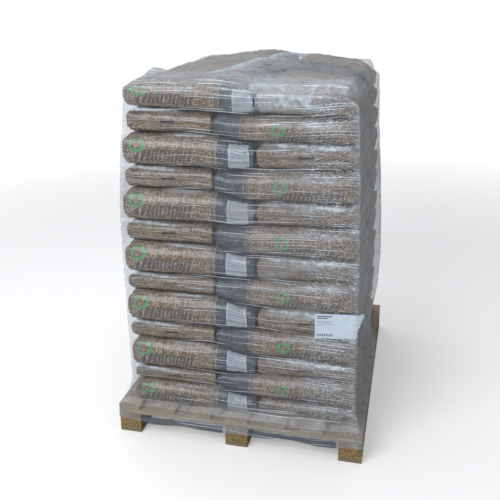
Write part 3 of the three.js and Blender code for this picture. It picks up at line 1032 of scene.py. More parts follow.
def top_rise(x, y):
    """How much higher the top lies there than at the stack's axis."""
    return joint_height(LAYERS, x) - joint_height(LAYERS) + crown_height(x, y)


def layer_places(layer):
    """Centre, turn and size of each sack of a layer. The turn is that of the inner end."""
    low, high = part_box(f"sack_layer_{layer + 1:02d}")
    centre = (low + high) / 2
    width, depth = high.x - low.x, high.y - low.y
    long_share = LONG_SHARES[layer % 2]
    long_size, short_size = long_share * width, (1 - long_share) * width
    side = -1 if layer % 2 == 0 else 1
    places = []
    for row in (-1, 0, 1):
        turn = 0 if side < 0 else 180
        x, y = centre.x + side * short_size / 2, centre.y + row * depth / 3
        places.append((x, y, turn, long_size, depth / 3))
    for row in (-1, 1):
        x, y = centre.x - side * long_size / 2, centre.y + row * depth / 4
        places.append((x, y, -90 * row, depth / 2, short_size))
    return places, centre


def seam_dip(sheets, length, width):
    """Rounds the upper edges of a sack that nothing presses."""
    inset = np.minimum(length / 2 - np.abs(sheets[..., 0]), width / 2 - np.abs(sheets[..., 1]))
    upper = np.clip(sheets[..., 2] / FOLD_RADIUS, 0, 1)
    sheets[..., 2] -= upper * TOP_SEAM_DIP * (1 - smooth(inset / TOP_SEAM_REACH))
    return sheets


def drawn_in(values, centre, half, inset, side):
    """Moves one side of a sack in by an inset and leaves the other side where it is."""
    outer = (values - centre) * side > 0
    return np.where(outer, centre + (values - centre) * (1 - inset / half), values)


print("lowest layer", [[round(v, 3) for v in place] for place in layer_places(0)[0]])


# %% Build the sacks
READING_LENGTH = 466 * MM
FAR_PRINT_DROP = 24 * MM
FLAP_LENGTH = 14 * MM


def sack_maps(length, flap_shares, flap_columns, flap_quads):
    """The two UV maps of a sack with its flap, corner by corner."""
    sheet, i, j = sack_corners.T
    run = i / CELLS_LONG * FLAT_LENGTH * (length / SACK_LENGTH)
    share = 2 * j / CELLS_WIDE - 1
    near_side = np.repeat(share.reshape(-1, 4).mean(axis=1) < 0, 4)
    girth = (1 - np.abs(share)) * FLAT_WIDTH / 2 * np.where(sheet == 0, 1, -1)
    girth = girth + np.where(near_side, 0, FAR_PRINT_DROP)
    reading = np.where(near_side, run, READING_LENGTH - run)
    order = np.array(flap_quads).ravel()
    flap_run = -flap_shares[order] * FLAP_LENGTH
    flap_share = 2 * (flap_columns[order] + FLAP_FIRST) / CELLS_WIDE - 1
    flap_girth = np.full_like(flap_run, -0.02)
    runs = np.concatenate([run, flap_run])
    return (
        np.stack([runs, np.concatenate([girth, flap_girth])], axis=1),
        np.stack([np.concatenate([reading, flap_run - 0.2]), np.concatenate([share, flap_share])], axis=1),
    )


def placed(points, layer, number, place, centre, random):
    """Turns a sack, sets it in its layer and draws its outer faces in as in the photograph."""
    x, y, turn, length, width = place
    spin = Matrix.Rotation(math.radians(turn + random.uniform(-0.3, 0.3)), 3, "Z")
    points = points @ np.array(spin).T + (x, y, 0.0)
    half_x, half_y = (length / 2, width / 2) if number < 3 else (width / 2, length / 2)
    on_left = x < 0
    insets = LEFT_STANDS_BACK if on_left else RIGHT_STANDS_BACK
    inset = insets[layer] * MM + random.uniform(0, 2) * MM
    points[:, 0] = drawn_in(points[:, 0], x, half_x, inset, -1 if on_left else 1)
    if number >= 3:
        inset = END_ON_STANDS_BACK["left" if on_left else "right"] * random.uniform(0.8, 1.2)
    else:
        inset = random.uniform(0, 3) * MM
    points[:, 1] = drawn_in(points[:, 1], y, half_y, inset, -1 if y < 0 else 1)
    share = (points[:, 2] + FOLD_RADIUS) / SACK_HEIGHT
    off_x, off_y = points[:, 0] - centre.x, points[:, 1] - centre.y
    lower, upper = joint_height(layer, off_x), joint_height(layer + 1, off_x)
    if layer == LAYERS - 1:
        upper = upper + TOP_PILLOW + crown_height(off_x, off_y)
    points[:, 2] = lower + (upper - lower) * share
    return points


def make_sack(layer, number):
    places, centre = layer_places(layer)
    length, width = places[number][3:]
    random = np.random.default_rng(100 * layer + number)
    full = FULL_LONG_SACK if number < 3 else FULL_END_ON_SACK
    sheets = turned_blank(layer + 2 * number, full, random)
    sheets *= ((length - 5 * MM) / SACK_LENGTH, (width - 3 * MM) / SACK_WIDTH, 0.99)
    if layer == LAYERS - 1:
        sheets = seam_dip(sheets, length, width)
    flap, quads, shares, columns = welded_flap(sheets, random)
    points = np.concatenate([flatten(sheets), flap])
    points = placed(points, layer, number, places[number], centre, random)
    offset = sack_indices.max() + 1
    faces = sack_quads + [[offset + corner for corner in quad] for quad in quads]
    name = f"sack_{layer + 1:02d}_{number + 1}"
    run, reading = sack_maps(length, shares, columns, quads)
    data = new_mesh(name, points, faces, sack_run=run, sack_reading=reading)
    sack = add_piece(name, data, sack_film)
    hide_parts(f"sack_layer_{layer + 1:02d}")
    return sack


sacks = [make_sack(layer, number) for layer in range(LAYERS) for number in range(SACKS_IN_LAYER)]
print(len(sacks), "sacks of", len(sacks[0].data.polygons), "faces")

# %% [markdown]
# ## The film's path over the stack
# The stretch film is wound round the whole load, so it touches the sacks where they stand out and
# runs straight over the gaps between them. Cloth simulation of such a large tight wrap is slow. It is
# quicker to shoot rays at the finished sacks from outside, which gives how far out they reach at
# every point, and then to close that relief: widening it and narrowing it again fills the gaps that
# are narrower than the film can follow. The wall of the film is a grid of columns round the stack and
# rows up to the shoulder, and the top is a second grid inside the last row.

# %% Grid of the film's wall
CELLS_X, CELLS_Y = 88, 104
WALL_ROWS, SHOULDER_ROWS = 176, 12
ROWS = WALL_ROWS + SHOULDER_ROWS
WALL_TOP, SHOULDER_RADIUS = 1.532, 26 * MM
TOP_SETTLES_FROM = 1.40
RIM_HEIGHT = 138 * MM
RIM_HALF = (0.5520, 0.6520)
RIM_RADIUS = 3 * MM
STACK_RADIUS, LEAST_RADIUS = 12 * MM, 4 * MM
LOOSE_HEIGHTS = (0.12, 0.30, 0.55, 0.80, 1.00, 1.15, 1.30, 1.50)
LOOSE_LEFT = (0, 12, 16, 22, 29, 27, 20, 8)
LOOSE_FRONT_RIGHT = (0, 8, 11, 13, 14, 14, 13, 10)
LOOSE_REAR_RIGHT = (0, 32, 40, 34, 26, 20, 16, 20)
FLARE_TOP = 0.30
FLARE_POWER = 2.1
HEM_HEIGHT, LIFTED_HEM = 64 * MM, 152 * MM


def rectangle_run():
    """Points round a square of half size 1, from the front left corner, as seen from above."""
    front = np.linspace(-1, 1, CELLS_X + 1)[:-1]
    right = np.linspace(-1, 1, CELLS_Y + 1)[:-1]
    sides = [
        np.stack([front, -np.ones(CELLS_X)], axis=1),
        np.stack([np.ones(CELLS_Y), right], axis=1),
        np.stack([-front, np.ones(CELLS_X)], axis=1),
        np.stack([-np.ones(CELLS_Y), -right], axis=1),
    ]
    return np.concatenate(sides)


def stack_outline(height):
    """Half sizes and centre of the sack layers at a height, between their middles."""
    middles, sizes = [], []
    for layer in range(LAYERS):
        low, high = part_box(f"sack_layer_{layer + 1:02d}")
        middles.append((joint_height(layer) + joint_height(layer + 1)) / 2)
        sizes.append(
            ((high.x - low.x) / 2, (high.y - low.y) / 2, (high.x + low.x) / 2, (high.y + low.y) / 2)
        )
    return [np.interp(height, middles, [size[axis] for size in sizes]) for axis in range(4)]


def bare_corner(unit):
    """1 at the rear right corner of the pallet, where the film is drawn up and in, and 0 elsewhere."""
    x, y = unit[:, 0], unit[:, 1]
    along_right = np.where(x > 0.999, np.clip((y - 0.30) / 0.35, 0, 1), 0)
    along_back = np.where(y > 0.999, np.clip((x - 0.45) / 0.35, 0, 1), 0)
    return smooth(np.maximum(along_right, along_back))


def rounded(unit, half_x, half_y, radius):
    """Places on a rounded rectangle and their outward directions."""
    flat = unit * np.stack([half_x, half_y], axis=-1)
    inner = np.stack([half_x - radius, half_y - radius], axis=-1)
    centre = np.clip(flat, -inner, inner)
    away = flat - centre
    away /= np.linalg.norm(away, axis=-1, keepdims=True)
    return centre + away * radius[..., None], away


TOP_HALF = stack_outline(WALL_TOP)[:2]
unit_run = rectangle_run()
COLUMNS = len(unit_run)
bare = bare_corner(unit_run)
print("film grid", COLUMNS, "columns,", WALL_ROWS, "rows")


# %% Base surface of the wall
def wall_heights(random):
    """Height and climb, measured over the shoulder, of each row in each column."""
    steps = np.arange(COLUMNS) / COLUMNS * 2 * math.pi
    wave = sum(
        random.uniform(2, 5) * MM * np.sin(order * steps + random.uniform(0, 6)) for order in (3, 7, 12, 19)
    )
    hem = HEM_HEIGHT + wave + bare * (LIFTED_HEM - HEM_HEIGHT)
    turn = np.linspace(0, math.pi / 2, SHOULDER_ROWS + 1)[1:]
    level = np.linspace(HEM_HEIGHT, WALL_TOP, WALL_ROWS)
    climb = np.concatenate([level, WALL_TOP + SHOULDER_RADIUS * turn])
    level = np.concatenate([level, WALL_TOP + SHOULDER_RADIUS * np.sin(turn)])
    lift = np.clip(1 - (level - HEM_HEIGHT) / (FLARE_TOP - HEM_HEIGHT), 0, 1)
    x, y = unit_run[:, 0] * TOP_HALF[0], unit_run[:, 1] * TOP_HALF[1]
    settled = top_rise(x, y)
    settling = smooth((level - TOP_SETTLES_FROM) / (WALL_TOP - TOP_SETTLES_FROM))
    lifted = (hem - HEM_HEIGHT)[:, None] * lift[None, :] + settled[:, None] * settling[None, :]
    return level[None, :] + lifted, climb[None, :] + lifted


def wall_base(heights):
    """Smooth surface that the film would follow without any sack showing, with its directions."""
    turn = np.concatenate([np.zeros(WALL_ROWS), np.linspace(0, math.pi / 2, SHOULDER_ROWS + 1)[1:]])
    inset = SHOULDER_RADIUS * (1 - np.cos(turn))
    half_x, half_y, centre_x, centre_y = stack_outline(heights)
    flare = np.clip((FLARE_TOP - heights) / (FLARE_TOP - RIM_HEIGHT), 0, 1) ** FLARE_POWER
    flare = flare * (1 - bare[:, None])
    half_x = half_x + 1.0 * MM + (RIM_HALF[0] - half_x - 1.0 * MM) * flare - inset
    half_y = half_y + 1.0 * MM + (RIM_HALF[1] - half_y - 1.0 * MM) * flare - inset
    radius = STACK_RADIUS + (RIM_RADIUS - STACK_RADIUS) * flare - inset
    radius = np.maximum(radius, RIM_RADIUS * flare + LEAST_RADIUS * (1 - flare))
    unit = np.repeat(unit_run[:, None, :], heights.shape[1], axis=1)
    flat, away = rounded(unit, half_x, half_y, radius)
    flat[..., 0] += centre_x * (1 - flare)
    flat[..., 1] += centre_y * (1 - flare)
    left, front_right, rear_right = (
        np.interp(heights, LOOSE_HEIGHTS, loose) * MM
        for loose in (LOOSE_LEFT, LOOSE_FRONT_RIGHT, LOOSE_REAR_RIGHT)
    )
    rear = smooth((flat[..., 1] + 0.6) / 1.0)
    right = front_right + (rear_right - front_right) * rear
    flat[..., 0] += right * smooth(flat[..., 0] / 0.47) - left * smooth(-flat[..., 0] / 0.47)
    places = np.concatenate([flat, heights[..., None]], axis=2)
    up = np.repeat(np.sin(turn)[None, :, None], len(heights), axis=0)
    return places, np.concatenate([away * np.cos(turn)[None, :, None], up], axis=2)


film_random = np.random.default_rng(77)
wall_z, wall_climb = wall_heights(film_random)
wall_places, wall_out = wall_base(wall_z)
middle_row = wall_places[:, WALL_ROWS // 2, :2]
run_steps = np.linalg.norm(np.diff(middle_row, axis=0, append=middle_row[:1]), axis=1)
wall_run = np.concatenate([[0], np.cumsum(run_steps)])
print("film goes round", round(float(wall_run[-1]), 3), "m")

# %% Relief of the sacks
PROBE_START, PROBE_REACH = 90 * MM, 180 * MM
NO_HIT = -60 * MM


def joined_tree(objects):
    """One search tree over the meshes of several objects."""
    points, faces, offset = [], [], 0
    for item in objects:
        places = np.zeros(len(item.data.vertices) * 3)
        item.data.vertices.foreach_get("co", places)
        points.append(places.reshape(-1, 3))
        faces.extend([[offset + v for v in polygon.vertices] for polygon in item.data.polygons])
        offset += len(item.data.vertices)
    return BVHTree.FromPolygons(np.concatenate(points).tolist(), faces)


def wall_relief(tree):
    relief = np.full(wall_z.shape, NO_HIT)
    for column in range(COLUMNS):
        for row in range(ROWS):
            out = Vector(wall_out[column, row])
            start = Vector(wall_places[column, row]) + out * PROBE_START
            hit = tree.ray_cast(start, -out, PROBE_REACH)
            if hit[0] is not None:
                relief[column, row] = PROBE_START - hit[3]
    return relief


def neighbours(field, axis, reach, wrap):
    """The values around each place along one axis, round the stack or with the edge repeated."""
    margin = [(reach, reach) if side == axis else (0, 0) for side in (0, 1)]
    padded = np.pad(field, margin, mode="wrap" if wrap and axis == 0 else "edge")
    return np.lib.stride_tricks.sliding_window_view(padded, 2 * reach + 1, axis=axis)


def widen(field, columns, rows, wrap=True):
    """The highest value within so many columns and rows."""
    for axis, reach in ((0, columns), (1, rows)):
        field = neighbours(field, axis, reach, wrap).max(axis=-1)
    return field


def close_gaps(field, columns, rows, wrap=True):
    return -widen(-widen(field, columns, rows, wrap), columns, rows, wrap)


def soften(field, rounds, wrap=True):
    for axis in (0, 1) * rounds:
        before, here, after = np.moveaxis(neighbours(field, axis, 1, wrap), -1, 0)
        field = (before + 2 * here + after) / 4
    return field


sack_tree = joined_tree(sacks)
relief = wall_relief(sack_tree)
print("sacks reach", np.percentile(relief, [5, 50, 95]).round(4), "from the base surface")

# %% [markdown]
# ## Tension in the film
# A tight wrap is full of fine straight ridges where the film is pulled, and they catch the light as
# bright lines. They run level round the stack, closest together over the joints between the sacks.
# Each is a long narrow hump on the film, from a list of random places with a fixed seed, and the same
# list also writes a mark on the film's points that the material turns into a painted highlight: a
# bright white line along the hump.

# %% Ridges and marks on the wall
FILM_CLEARANCE = 1.0 * MM
FILM_DIP = 6 * MM
CORNER_HOLD = 11 * MM
TOP_EDGE_CLIMB = 1.566
STRAY_RIDGES, CLEAR_FRONT_RUN = 220, 0.30
# Where the joint is measured, and ridges there: run, millimetres over the joint, half length,
# half width and height in millimetres, lean and brightness.
EVEN_RIDGES = ((-0.36, ((0.03, 2, 0.04, 9, 4, -0.05, 1.5), (0.14, -7, 0.12, 6, 3, -0.03, 1.3))),)
ODD_RIDGES = (
    (-0.20, ((0.30, -3, 0.09, 5, 2, -0.01, 1.0),)),
    (0.36, ((0.90, -12, 0.08, 10, 3, 0.0, 1.3), (0.74, -8, 0.12, 6, 2, 0.0, 1.1))),
)


def ridge_list(random):
    """Middle run, height, half length, half width, height of the hump, lean and brightness."""
    ridges = []
    total = wall_run[-1]
    for _ in range(STRAY_RIDGES):
        run, height = random.uniform(0, total), random.uniform(0.2, 1.54)
        if run < CLEAR_FRONT_RUN and random.random() < 0.6:
            continue
        reach, half_width = random.uniform(0.05, 0.22), random.uniform(4, 6) * MM
        rise, lean = random.uniform(0.6, 1.6) * MM, random.uniform(-0.03, 0.03)
        ridges.append((run, height, reach, half_width, rise, lean, random.uniform(0.1, 0.4)))
    for run, reach in ((0.20, 0.17), (0.62, 0.24)):
        ridges.append((run, TOP_EDGE_CLIMB, reach, 8 * MM, 1 * MM, 0.0, 0.9))
        ridges.append((run + 0.05, TOP_EDGE_CLIMB - 16 * MM, reach * 0.7, 5 * MM, 1 * MM, 0.0, 0.8))
    for layer in range(1, LAYERS):
        for x, table in ODD_RIDGES if layer % 2 else EVEN_RIDGES:
            dimmed = 0.5 if layer == 1 and x > 0 else 1.0
            for run, over, reach, half_width, rise, lean, light in table:
                height = joint_height(layer, x) + over * MM
                ridges.append((run, height, reach, half_width * MM, rise * MM, lean, light * dimmed))
    return ridges


def lay_ridges(ridges):
    hump, bright = np.zeros(wall_z.shape), np.zeros(wall_z.shape)
    total = wall_run[-1]
    for run, height, reach, half_width, rise, lean, light in ridges:
        away = (wall_run[:-1] - run + total / 2) % total - total / 2
        near = np.abs(away) < 2.2 * reach
        across = wall_climb[near] - height - lean * away[near, None]
        shape = np.exp(-((away[near, None] / reach) ** 4)) * np.exp(-((across / half_width) ** 2))
        hump[near] += rise * shape
        # Painted highlight: how bright the white line that the material paints along each ridge is.
        bright[near] = np.maximum(bright[near], light * shape)
    return hump, bright


ridges = ridge_list(film_random)
hump, ridge_highlight = lay_ridges(ridges)
print(len(ridges), "ridges")


# %% Set the wall
def smooth_noise(random, shape, columns, rows, rounds=6):
    """Soft random field between about -1 and 1 that joins round the stack."""
    coarse = random.normal(0, 1, (columns, rows))
    u = np.linspace(0, columns, shape[0], endpoint=False)
    v = np.linspace(0, rows - 1, shape[1])
    i, j = np.floor(u).astype(int), np.minimum(np.floor(v).astype(int), rows - 2)
    fu, fv = smooth(u - i)[:, None], smooth(v - j)[None, :]
    a, b = coarse[i % columns][:, j], coarse[(i + 1) % columns][:, j]
    c, d = coarse[i % columns][:, j + 1], coarse[(i + 1) % columns][:, j + 1]
    field = (a * (1 - fu) + b * fu) * (1 - fv) + (c * (1 - fu) + d * fu) * fv
    return soften(field, rounds) / 1.6


def near_corner():
    """1 at the four corners of the stack, where the film is tightest, and 0 on its faces."""
    corner = np.minimum(np.abs(unit_run[:, 0]), np.abs(unit_run[:, 1]))
    return smooth((corner - 0.88) / 0.12)


def wall_offset():
    closed = close_gaps(relief, 10, 8)
    closed = np.maximum(closed, -12 * MM + CORNER_HOLD * near_corner()[:, None])
    rest = closed - FILM_DIP * (1 - np.exp(-(closed - relief) / (30 * MM)))
    rest = soften(rest, 2)
    rest = np.maximum(rest, relief + FILM_CLEARANCE)
    rest = rest * (wall_z > RIM_HEIGHT + 15 * MM)
    slack = np.abs(smooth_noise(film_random, wall_z.shape, 40, 30)) * 1.5 * MM
    return rest + hump + slack


wall_shift = wall_offset()
wall_points = wall_places + wall_out * wall_shift[..., None]
print("film moved", np.percentile(wall_shift, [1, 50, 99]).round(4))

# %% Top of the film
TOP_DIP = 7 * MM
FOLD_START, FOLD_END = (0.06, 0.55), (-0.16, -0.35)
FOLD_HEIGHT, SHARP_SIDE, FLAT_SIDE = 5 * MM, 7 * MM, 45 * MM
PEAK_PLACE, PEAK_WIDTH, PEAK_REACH, PEAK_HEIGHT = (-0.405, -0.36), 0.035, 0.08, 26 * MM


def ring_sides(ring):
    """Front, right, back and left side of a ring, each from the left or from the front."""
    turns = np.cumsum([0, CELLS_X, CELLS_Y, CELLS_X, CELLS_Y])
    closed = np.concatenate([ring, ring[:1]])
    front, right, back, left = (closed[a : b + 1] for a, b in zip(turns, turns[1:]))
    return front, right, back[::-1], left[::-1]


def ring_to_grid(ring):
    """Coons patch: a grid whose border is the wall's last row."""
    front, right, back, left = ring_sides(ring)
    s = np.linspace(0, 1, CELLS_X + 1)[:, None, None]
    t = np.linspace(0, 1, CELLS_Y + 1)[None, :, None]
    across = (1 - t) * front[:, None] + t * back[:, None]
    along = (1 - s) * left[None] + s * right[None]
    corners = (
        (1 - s) * (1 - t) * front[0] + s * (1 - t) * front[-1] + (1 - s) * t * back[0] + s * t * back[-1]
    )
    return across + along - corners


def top_heights(tree, grid):
    heights = np.full(grid.shape[:2], joint_height(LAYERS) - 40 * MM)
    for i in range(grid.shape[0]):
        for j in range(grid.shape[1]):
            hit = tree.ray_cast(Vector((grid[i, j, 0], grid[i, j, 1], 2.0)), Vector((0, 0, -1)), 1.0)
            if hit[0] is not None:
                heights[i, j] = hit[0].z
    return heights


def fold_shape(x, y):
    """A long fold with a sharp step on one side."""
    line = distance_to_line(x, y, FOLD_START, FOLD_END)
    run = np.array(FOLD_END) - np.array(FOLD_START)
    side = (x - FOLD_START[0]) * run[1] - (y - FOLD_START[1]) * run[0]
    return np.where(side > 0, np.exp(-line / SHARP_SIDE), np.exp(-line / FLAT_SIDE))


def make_top(tree, ring):
    grid = ring_to_grid(ring)
    level = grid[..., 2].copy()
    sack_heights = top_heights(tree, grid)
    closed = close_gaps(sack_heights, 10, 10, wrap=False)
    rest = closed - TOP_DIP * (1 - np.exp(-(closed - sack_heights) / (25 * MM)))
    rest = soften(rest, 3, wrap=False)
    x, y = grid[..., 0], grid[..., 1]
    fold = fold_shape(x, y)
    peak = np.exp(-(((x - PEAK_PLACE[0]) / PEAK_WIDTH) ** 2) - ((y - PEAK_PLACE[1]) / PEAK_REACH) ** 2)
    ripple = np.abs(smooth_noise(film_random, x.shape, 14, 18, 3)) * 2.5 * MM
    rest = rest + fold * FOLD_HEIGHT + peak * PEAK_HEIGHT + ripple
    i, j = np.indices(x.shape)
    from_border = np.minimum.reduce([i, j, CELLS_X - i, CELLS_Y - j]) / 3
    rest = level + (rest - level) * smooth(from_border)
    rest[1:-1, 1:-1] = np.maximum(rest, sack_heights + FILM_CLEARANCE)[1:-1, 1:-1]
    grid[..., 2] = rest
    return grid, np.maximum(fold, peak * 0.8)


top_grid, top_fold = make_top(sack_tree, wall_points[:, -1])
print("film's top reaches", round(float(top_grid[..., 2].max()), 4), "m")

# %% [markdown]
# ## One sheet of film
# Wall and top become one open mesh that shares the last row. Besides its shape the mesh carries five
# marks for the material: painted highlights on creases with milky patches, haze, fine streaks,
# crinkles and painted shade. The front is clear on the left and milkier to the right, the sides are
# hazy all over because more turns overlap there, and the top is one dull veil. The painted shade
# darkens the right side and makes the film dark where it hangs in front of the fork openings.


# %% Film marks
TOP_INNER = (CELLS_X - 1, CELLS_Y - 1)
TOP_MAP_SHIFT = 8.0
SKIRT_TOP = 0.205
TOP_CLEAR_FROM, TOP_CLEAR_REACH = -0.60, 0.16
OPENING_TOP, BLOCK_HIDES = 0.100, 52 * MM
FRONT_END, RIGHT_END, BACK_END, LEFT_END = 1.0, 2.20, 3.20, 4.45
CORNER_RUNS = ((-0.02, 0.035), (0.975, 1.02))
HAZE = {"everywhere": 0.05, "front_right": 0.10, "right": 0.58, "back": 0.30, "left": 0.34,
        "skirt": 0.36, "shoulder": 0.55}
CRINKLED = ((0.9, 0.80, 1.02, 0.06), (0.8, -0.1, 0.06, 0.05), (0.5, 2.1, 2.35, 0.1), (0.5, 3.1, 3.3, 0.1))
SIDE_SHADE_HEIGHTS, SIDE_SHADES = (0.2, 0.5, 0.9, 1.2, 1.45), (0.18, 0.42, 0.48, 0.28, 0.14)
FRONT_RIGHT, CORNER_SOFT = (0.40, 0.99, 0.25), 0.03
EVEN_PATCH, ODD_PATCH = (0.84, -24 * MM, 0.11, 18 * MM, 0.6), (0.80, -15 * MM, 0.17, 15 * MM, 0.75)
LOWEST_PATCH_STRENGTH, GLINT_STRENGTH = 0.3, 0.6
TOP_PATCH, GLINT = ((0.73, 0.21), (1.513, 0.036)), ((0.992, 0.014), (-4 * MM, 13 * MM))
TOP_VEIL, TOP_VEIL_CLOUDS, TOP_VEIL_THINS = 0.62, 0.14, 0.16


def side_weight(run, low, high, soft):
    """1 between two places on the way round the stack."""
    return smooth((run - low) / soft + 0.5) * smooth((high - run) / soft + 0.5)


def wall_marks():
    run = np.repeat(wall_run[:-1, None], ROWS, axis=1)
    patch = smooth_noise(film_random, wall_z.shape, 34, 40, 2)
    broad = smooth_noise(film_random, wall_z.shape, 12, 9, 8)
    front_right = side_weight(run, *FRONT_RIGHT)
    left_corner, right_corner = (side_weight(run, *place, CORNER_SOFT) for place in CORNER_RUNS)
    touching = smooth((relief + 10 * MM) / (9 * MM))
    right = side_weight(run - 0.022 * touching - 0.006 * patch, FRONT_END + 5 * MM, RIGHT_END, 0.03)
    back = side_weight(run, RIGHT_END, BACK_END, 0.1)
    left = side_weight(run, BACK_END, LEFT_END, 0.1)
    haze = HAZE["everywhere"] + 0.03 * broad
    haze += front_right * (HAZE["front_right"] + np.clip(patch - 0.35, 0, 1) * 0.5)
    haze += right * (HAZE["right"] + 0.12 * broad)
    haze += back * (HAZE["back"] + 0.15 * broad) + left * (HAZE["left"] + 0.15 * broad)
    haze += left_corner * (0.20 + 0.1 * patch) + right_corner * 0.15
    skirt = smooth((SKIRT_TOP - wall_z) / 0.06)
    skirt_haze = HAZE["skirt"] + 0.12 * patch + 0.20 * side_weight(run, 0.35, 0.95, 0.2)
    haze += skirt * skirt_haze * (run < FRONT_END)
    at_rim = smooth((RIM_HEIGHT + 8 * MM - wall_z) / (10 * MM)) * smooth((wall_z - OPENING_TOP) / (6 * MM))
    haze *= 1 - 0.62 * at_rim
    on_side = np.clip(np.abs(wall_out[..., 0]) * 1.4, 0, 1)
    haze += (HAZE["shoulder"] - haze) * smooth((wall_climb - WALL_TOP - 0.02) / 0.07) * on_side
    # Gain of the fine streaks, which the material paints as thin white highlights; the crinkles are painted
    # the same way.
    streaks = 0.40 + 0.60 * side_weight(run, 0.24, 1.0, 0.14) - 0.2 * right
    crinkle = sum(amount * side_weight(run, *place) for amount, *place in CRINKLED)
    crinkle *= 1 - skirt
    return haze, streaks, crinkle, wall_shade(right)


def wall_shade(right):
    """Painted shade on the film: the right side darker, and dark over the fork openings under the boards.
    """
    under = smooth((OPENING_TOP - wall_z) / (6 * MM))
    x, y = wall_places[..., 0], wall_places[..., 1]
    behind_block = np.zeros_like(x)
    for block in ("front_left", "front_centre", "front_right", "middle_right", "back_right"):
        low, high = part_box(f"block_{block}")
        middle, half = (low + high) / 2, BLOCK_HIDES
        facing = np.where(y < -0.64, np.abs(x - middle.x), np.abs(y - middle.y))
        on_side = (y < -0.64) if block.startswith("front") else (x > 0.54)
        behind_block = np.maximum(behind_block, (facing < half) * on_side)
    # Painted shade on the right side, deepest at about 0.9 m up.
    depth = np.interp(wall_z, SIDE_SHADE_HEIGHTS, SIDE_SHADES)
    return np.maximum(right * depth, under * (1 - behind_block))


def milky_patches_and_glints():
    """Milky places on the upper part of the right sacks, where the film stands off them, and painted
    glints: highlights at the right corner over each joint.
    """
    run = wall_run[:-1, None]
    cloud = 0.9 + 0.3 * smooth_noise(film_random, wall_z.shape, 60, 60, 2)
    (near, reach), (level, half_height) = TOP_PATCH
    patches = np.exp(-(((run - near) / reach) ** 4) - ((wall_z - level) / half_height) ** 4)
    for layer in range(1, LAYERS):
        over_joint = wall_z - joint_height(layer, 0.36)
        near, level, reach, half_height, strength = ODD_PATCH if layer % 2 else EVEN_PATCH
        if layer == 1:
            strength = LOWEST_PATCH_STRENGTH
        patch = np.exp(-(((run - near) / reach) ** 4) - ((over_joint - level) / half_height) ** 2)
        patches = np.maximum(patches, patch * strength)
        # Painted highlight: a small glint at the right corner over each joint.
        (near, reach), (level, half_height) = GLINT
        glint = np.exp(-(((run - near) / reach) ** 2) - ((over_joint - level) / half_height) ** 2)
        patches = np.maximum(patches, glint * GLINT_STRENGTH)
    return patches * cloud


def film_mesh():
    """The film's points, quads and map."""
    wall_index = np.arange(COLUMNS * ROWS).reshape(COLUMNS, ROWS)
    top_index = np.zeros((CELLS_X + 1, CELLS_Y + 1), int)
    top_index[1:-1, 1:-1] = COLUMNS * ROWS + np.arange(np.prod(TOP_INNER)).reshape(TOP_INNER)
    top_index[:, 0], top_index[-1], top_index[:, -1], top_index[0] = ring_sides(wall_index[:, -1])
    points = np.concatenate([wall_points.reshape(-1, 3), top_grid[1:-1, 1:-1].reshape(-1, 3)])
    wall_index, climb = (np.concatenate([grid, grid[:1]]) for grid in (wall_index, wall_climb))
    wall_map = np.stack([np.repeat(wall_run[:, None], ROWS, axis=1), climb], axis=-1)
    quads = [corners_of(index).reshape(-1, 4) for index in (wall_index, top_index)]
    maps = [corners_of(grid).reshape(-1, 2) for grid in (wall_map, top_grid[..., :2] + TOP_MAP_SHIFT)]
    return points, np.concatenate(quads), np.concatenate(maps)


def add_mark(data, name, wall, top):
    """Stores a value on the film's points, from a field on the wall and one on the top."""
    values = np.concatenate([wall.ravel(), np.broadcast_to(top, TOP_INNER).ravel()])
    data.attributes.new(name, "FLOAT", "POINT").data.foreach_set("value", values.astype(np.float32))


def film_data():
    points, quads, maps = film_mesh()
    data = new_mesh("stretch_film", points, quads, film_run=maps)
    haze, streaks, crinkle, shade = wall_marks()
    top_patch = smooth_noise(film_random, TOP_INNER, 7, 9, 3)
    top_x, top_y = top_grid[1:-1, 1:-1, 0], top_grid[1:-1, 1:-1, 1]
    top_haze = TOP_VEIL - TOP_VEIL_THINS * smooth((top_x + 0.1) / 0.4) + TOP_VEIL_CLOUDS * top_patch
    clear_left = (1 - smooth((top_y - TOP_CLEAR_FROM) / TOP_CLEAR_REACH)) * (top_x < 0.05)
    top_haze *= 1 - 0.75 * clear_left
    front = 1 - smooth((top_y + 0.46) / 0.26)
    milky_front = front * (0.36 + 0.19 * smooth(top_x / 0.10)) * (1 - 0.4 * clear_left)
    # Painted highlight along the top's fold and peak, and a milky strip along the top's front edge.
    top_highlight_and_milk = np.maximum(top_fold[1:-1, 1:-1] * 0.9, milky_front)
    top_streaks = 0.25 + 0.75 * (1 - smooth((top_y + 0.35) / 0.4))
    # The first mark holds the painted highlights of the ridges, glints and top fold, with milky patches.
    add_mark(data, "highlight_and_milk", np.maximum(ridge_highlight, milky_patches_and_glints()), top_highlight_and_milk)
    add_mark(data, "shade", shade, 0.0)
    add_mark(data, "haze", haze, top_haze)
    add_mark(data, "streaks", streaks, top_streaks)
    add_mark(data, "crinkle", crinkle, 0.15)
    return data


stretch_data = film_data()
print("film mesh", len(stretch_data.polygons), "quads")

# %% [markdown]
# ## What the film looks like
# Clear film is nearly invisible where it is flat and tight. It shows by its milky creases, by the
# haze of several turns, by the shine on its humps, and by bright lines on its ridges, streaks and
# crinkles, which the material paints white as highlights. The streak group rules the film into narrow
# rows and draws one thin level line in each, at a place of its own and only along part of the way.
# The material turns creases, streaks and haze into opacity, and the shade mark into painted shade.

# %% Streak group
LINE_ROW = 10.5 * MM
LINE_REACH = 0.26
LINE_HALF_WIDTH = 1.7 * MM


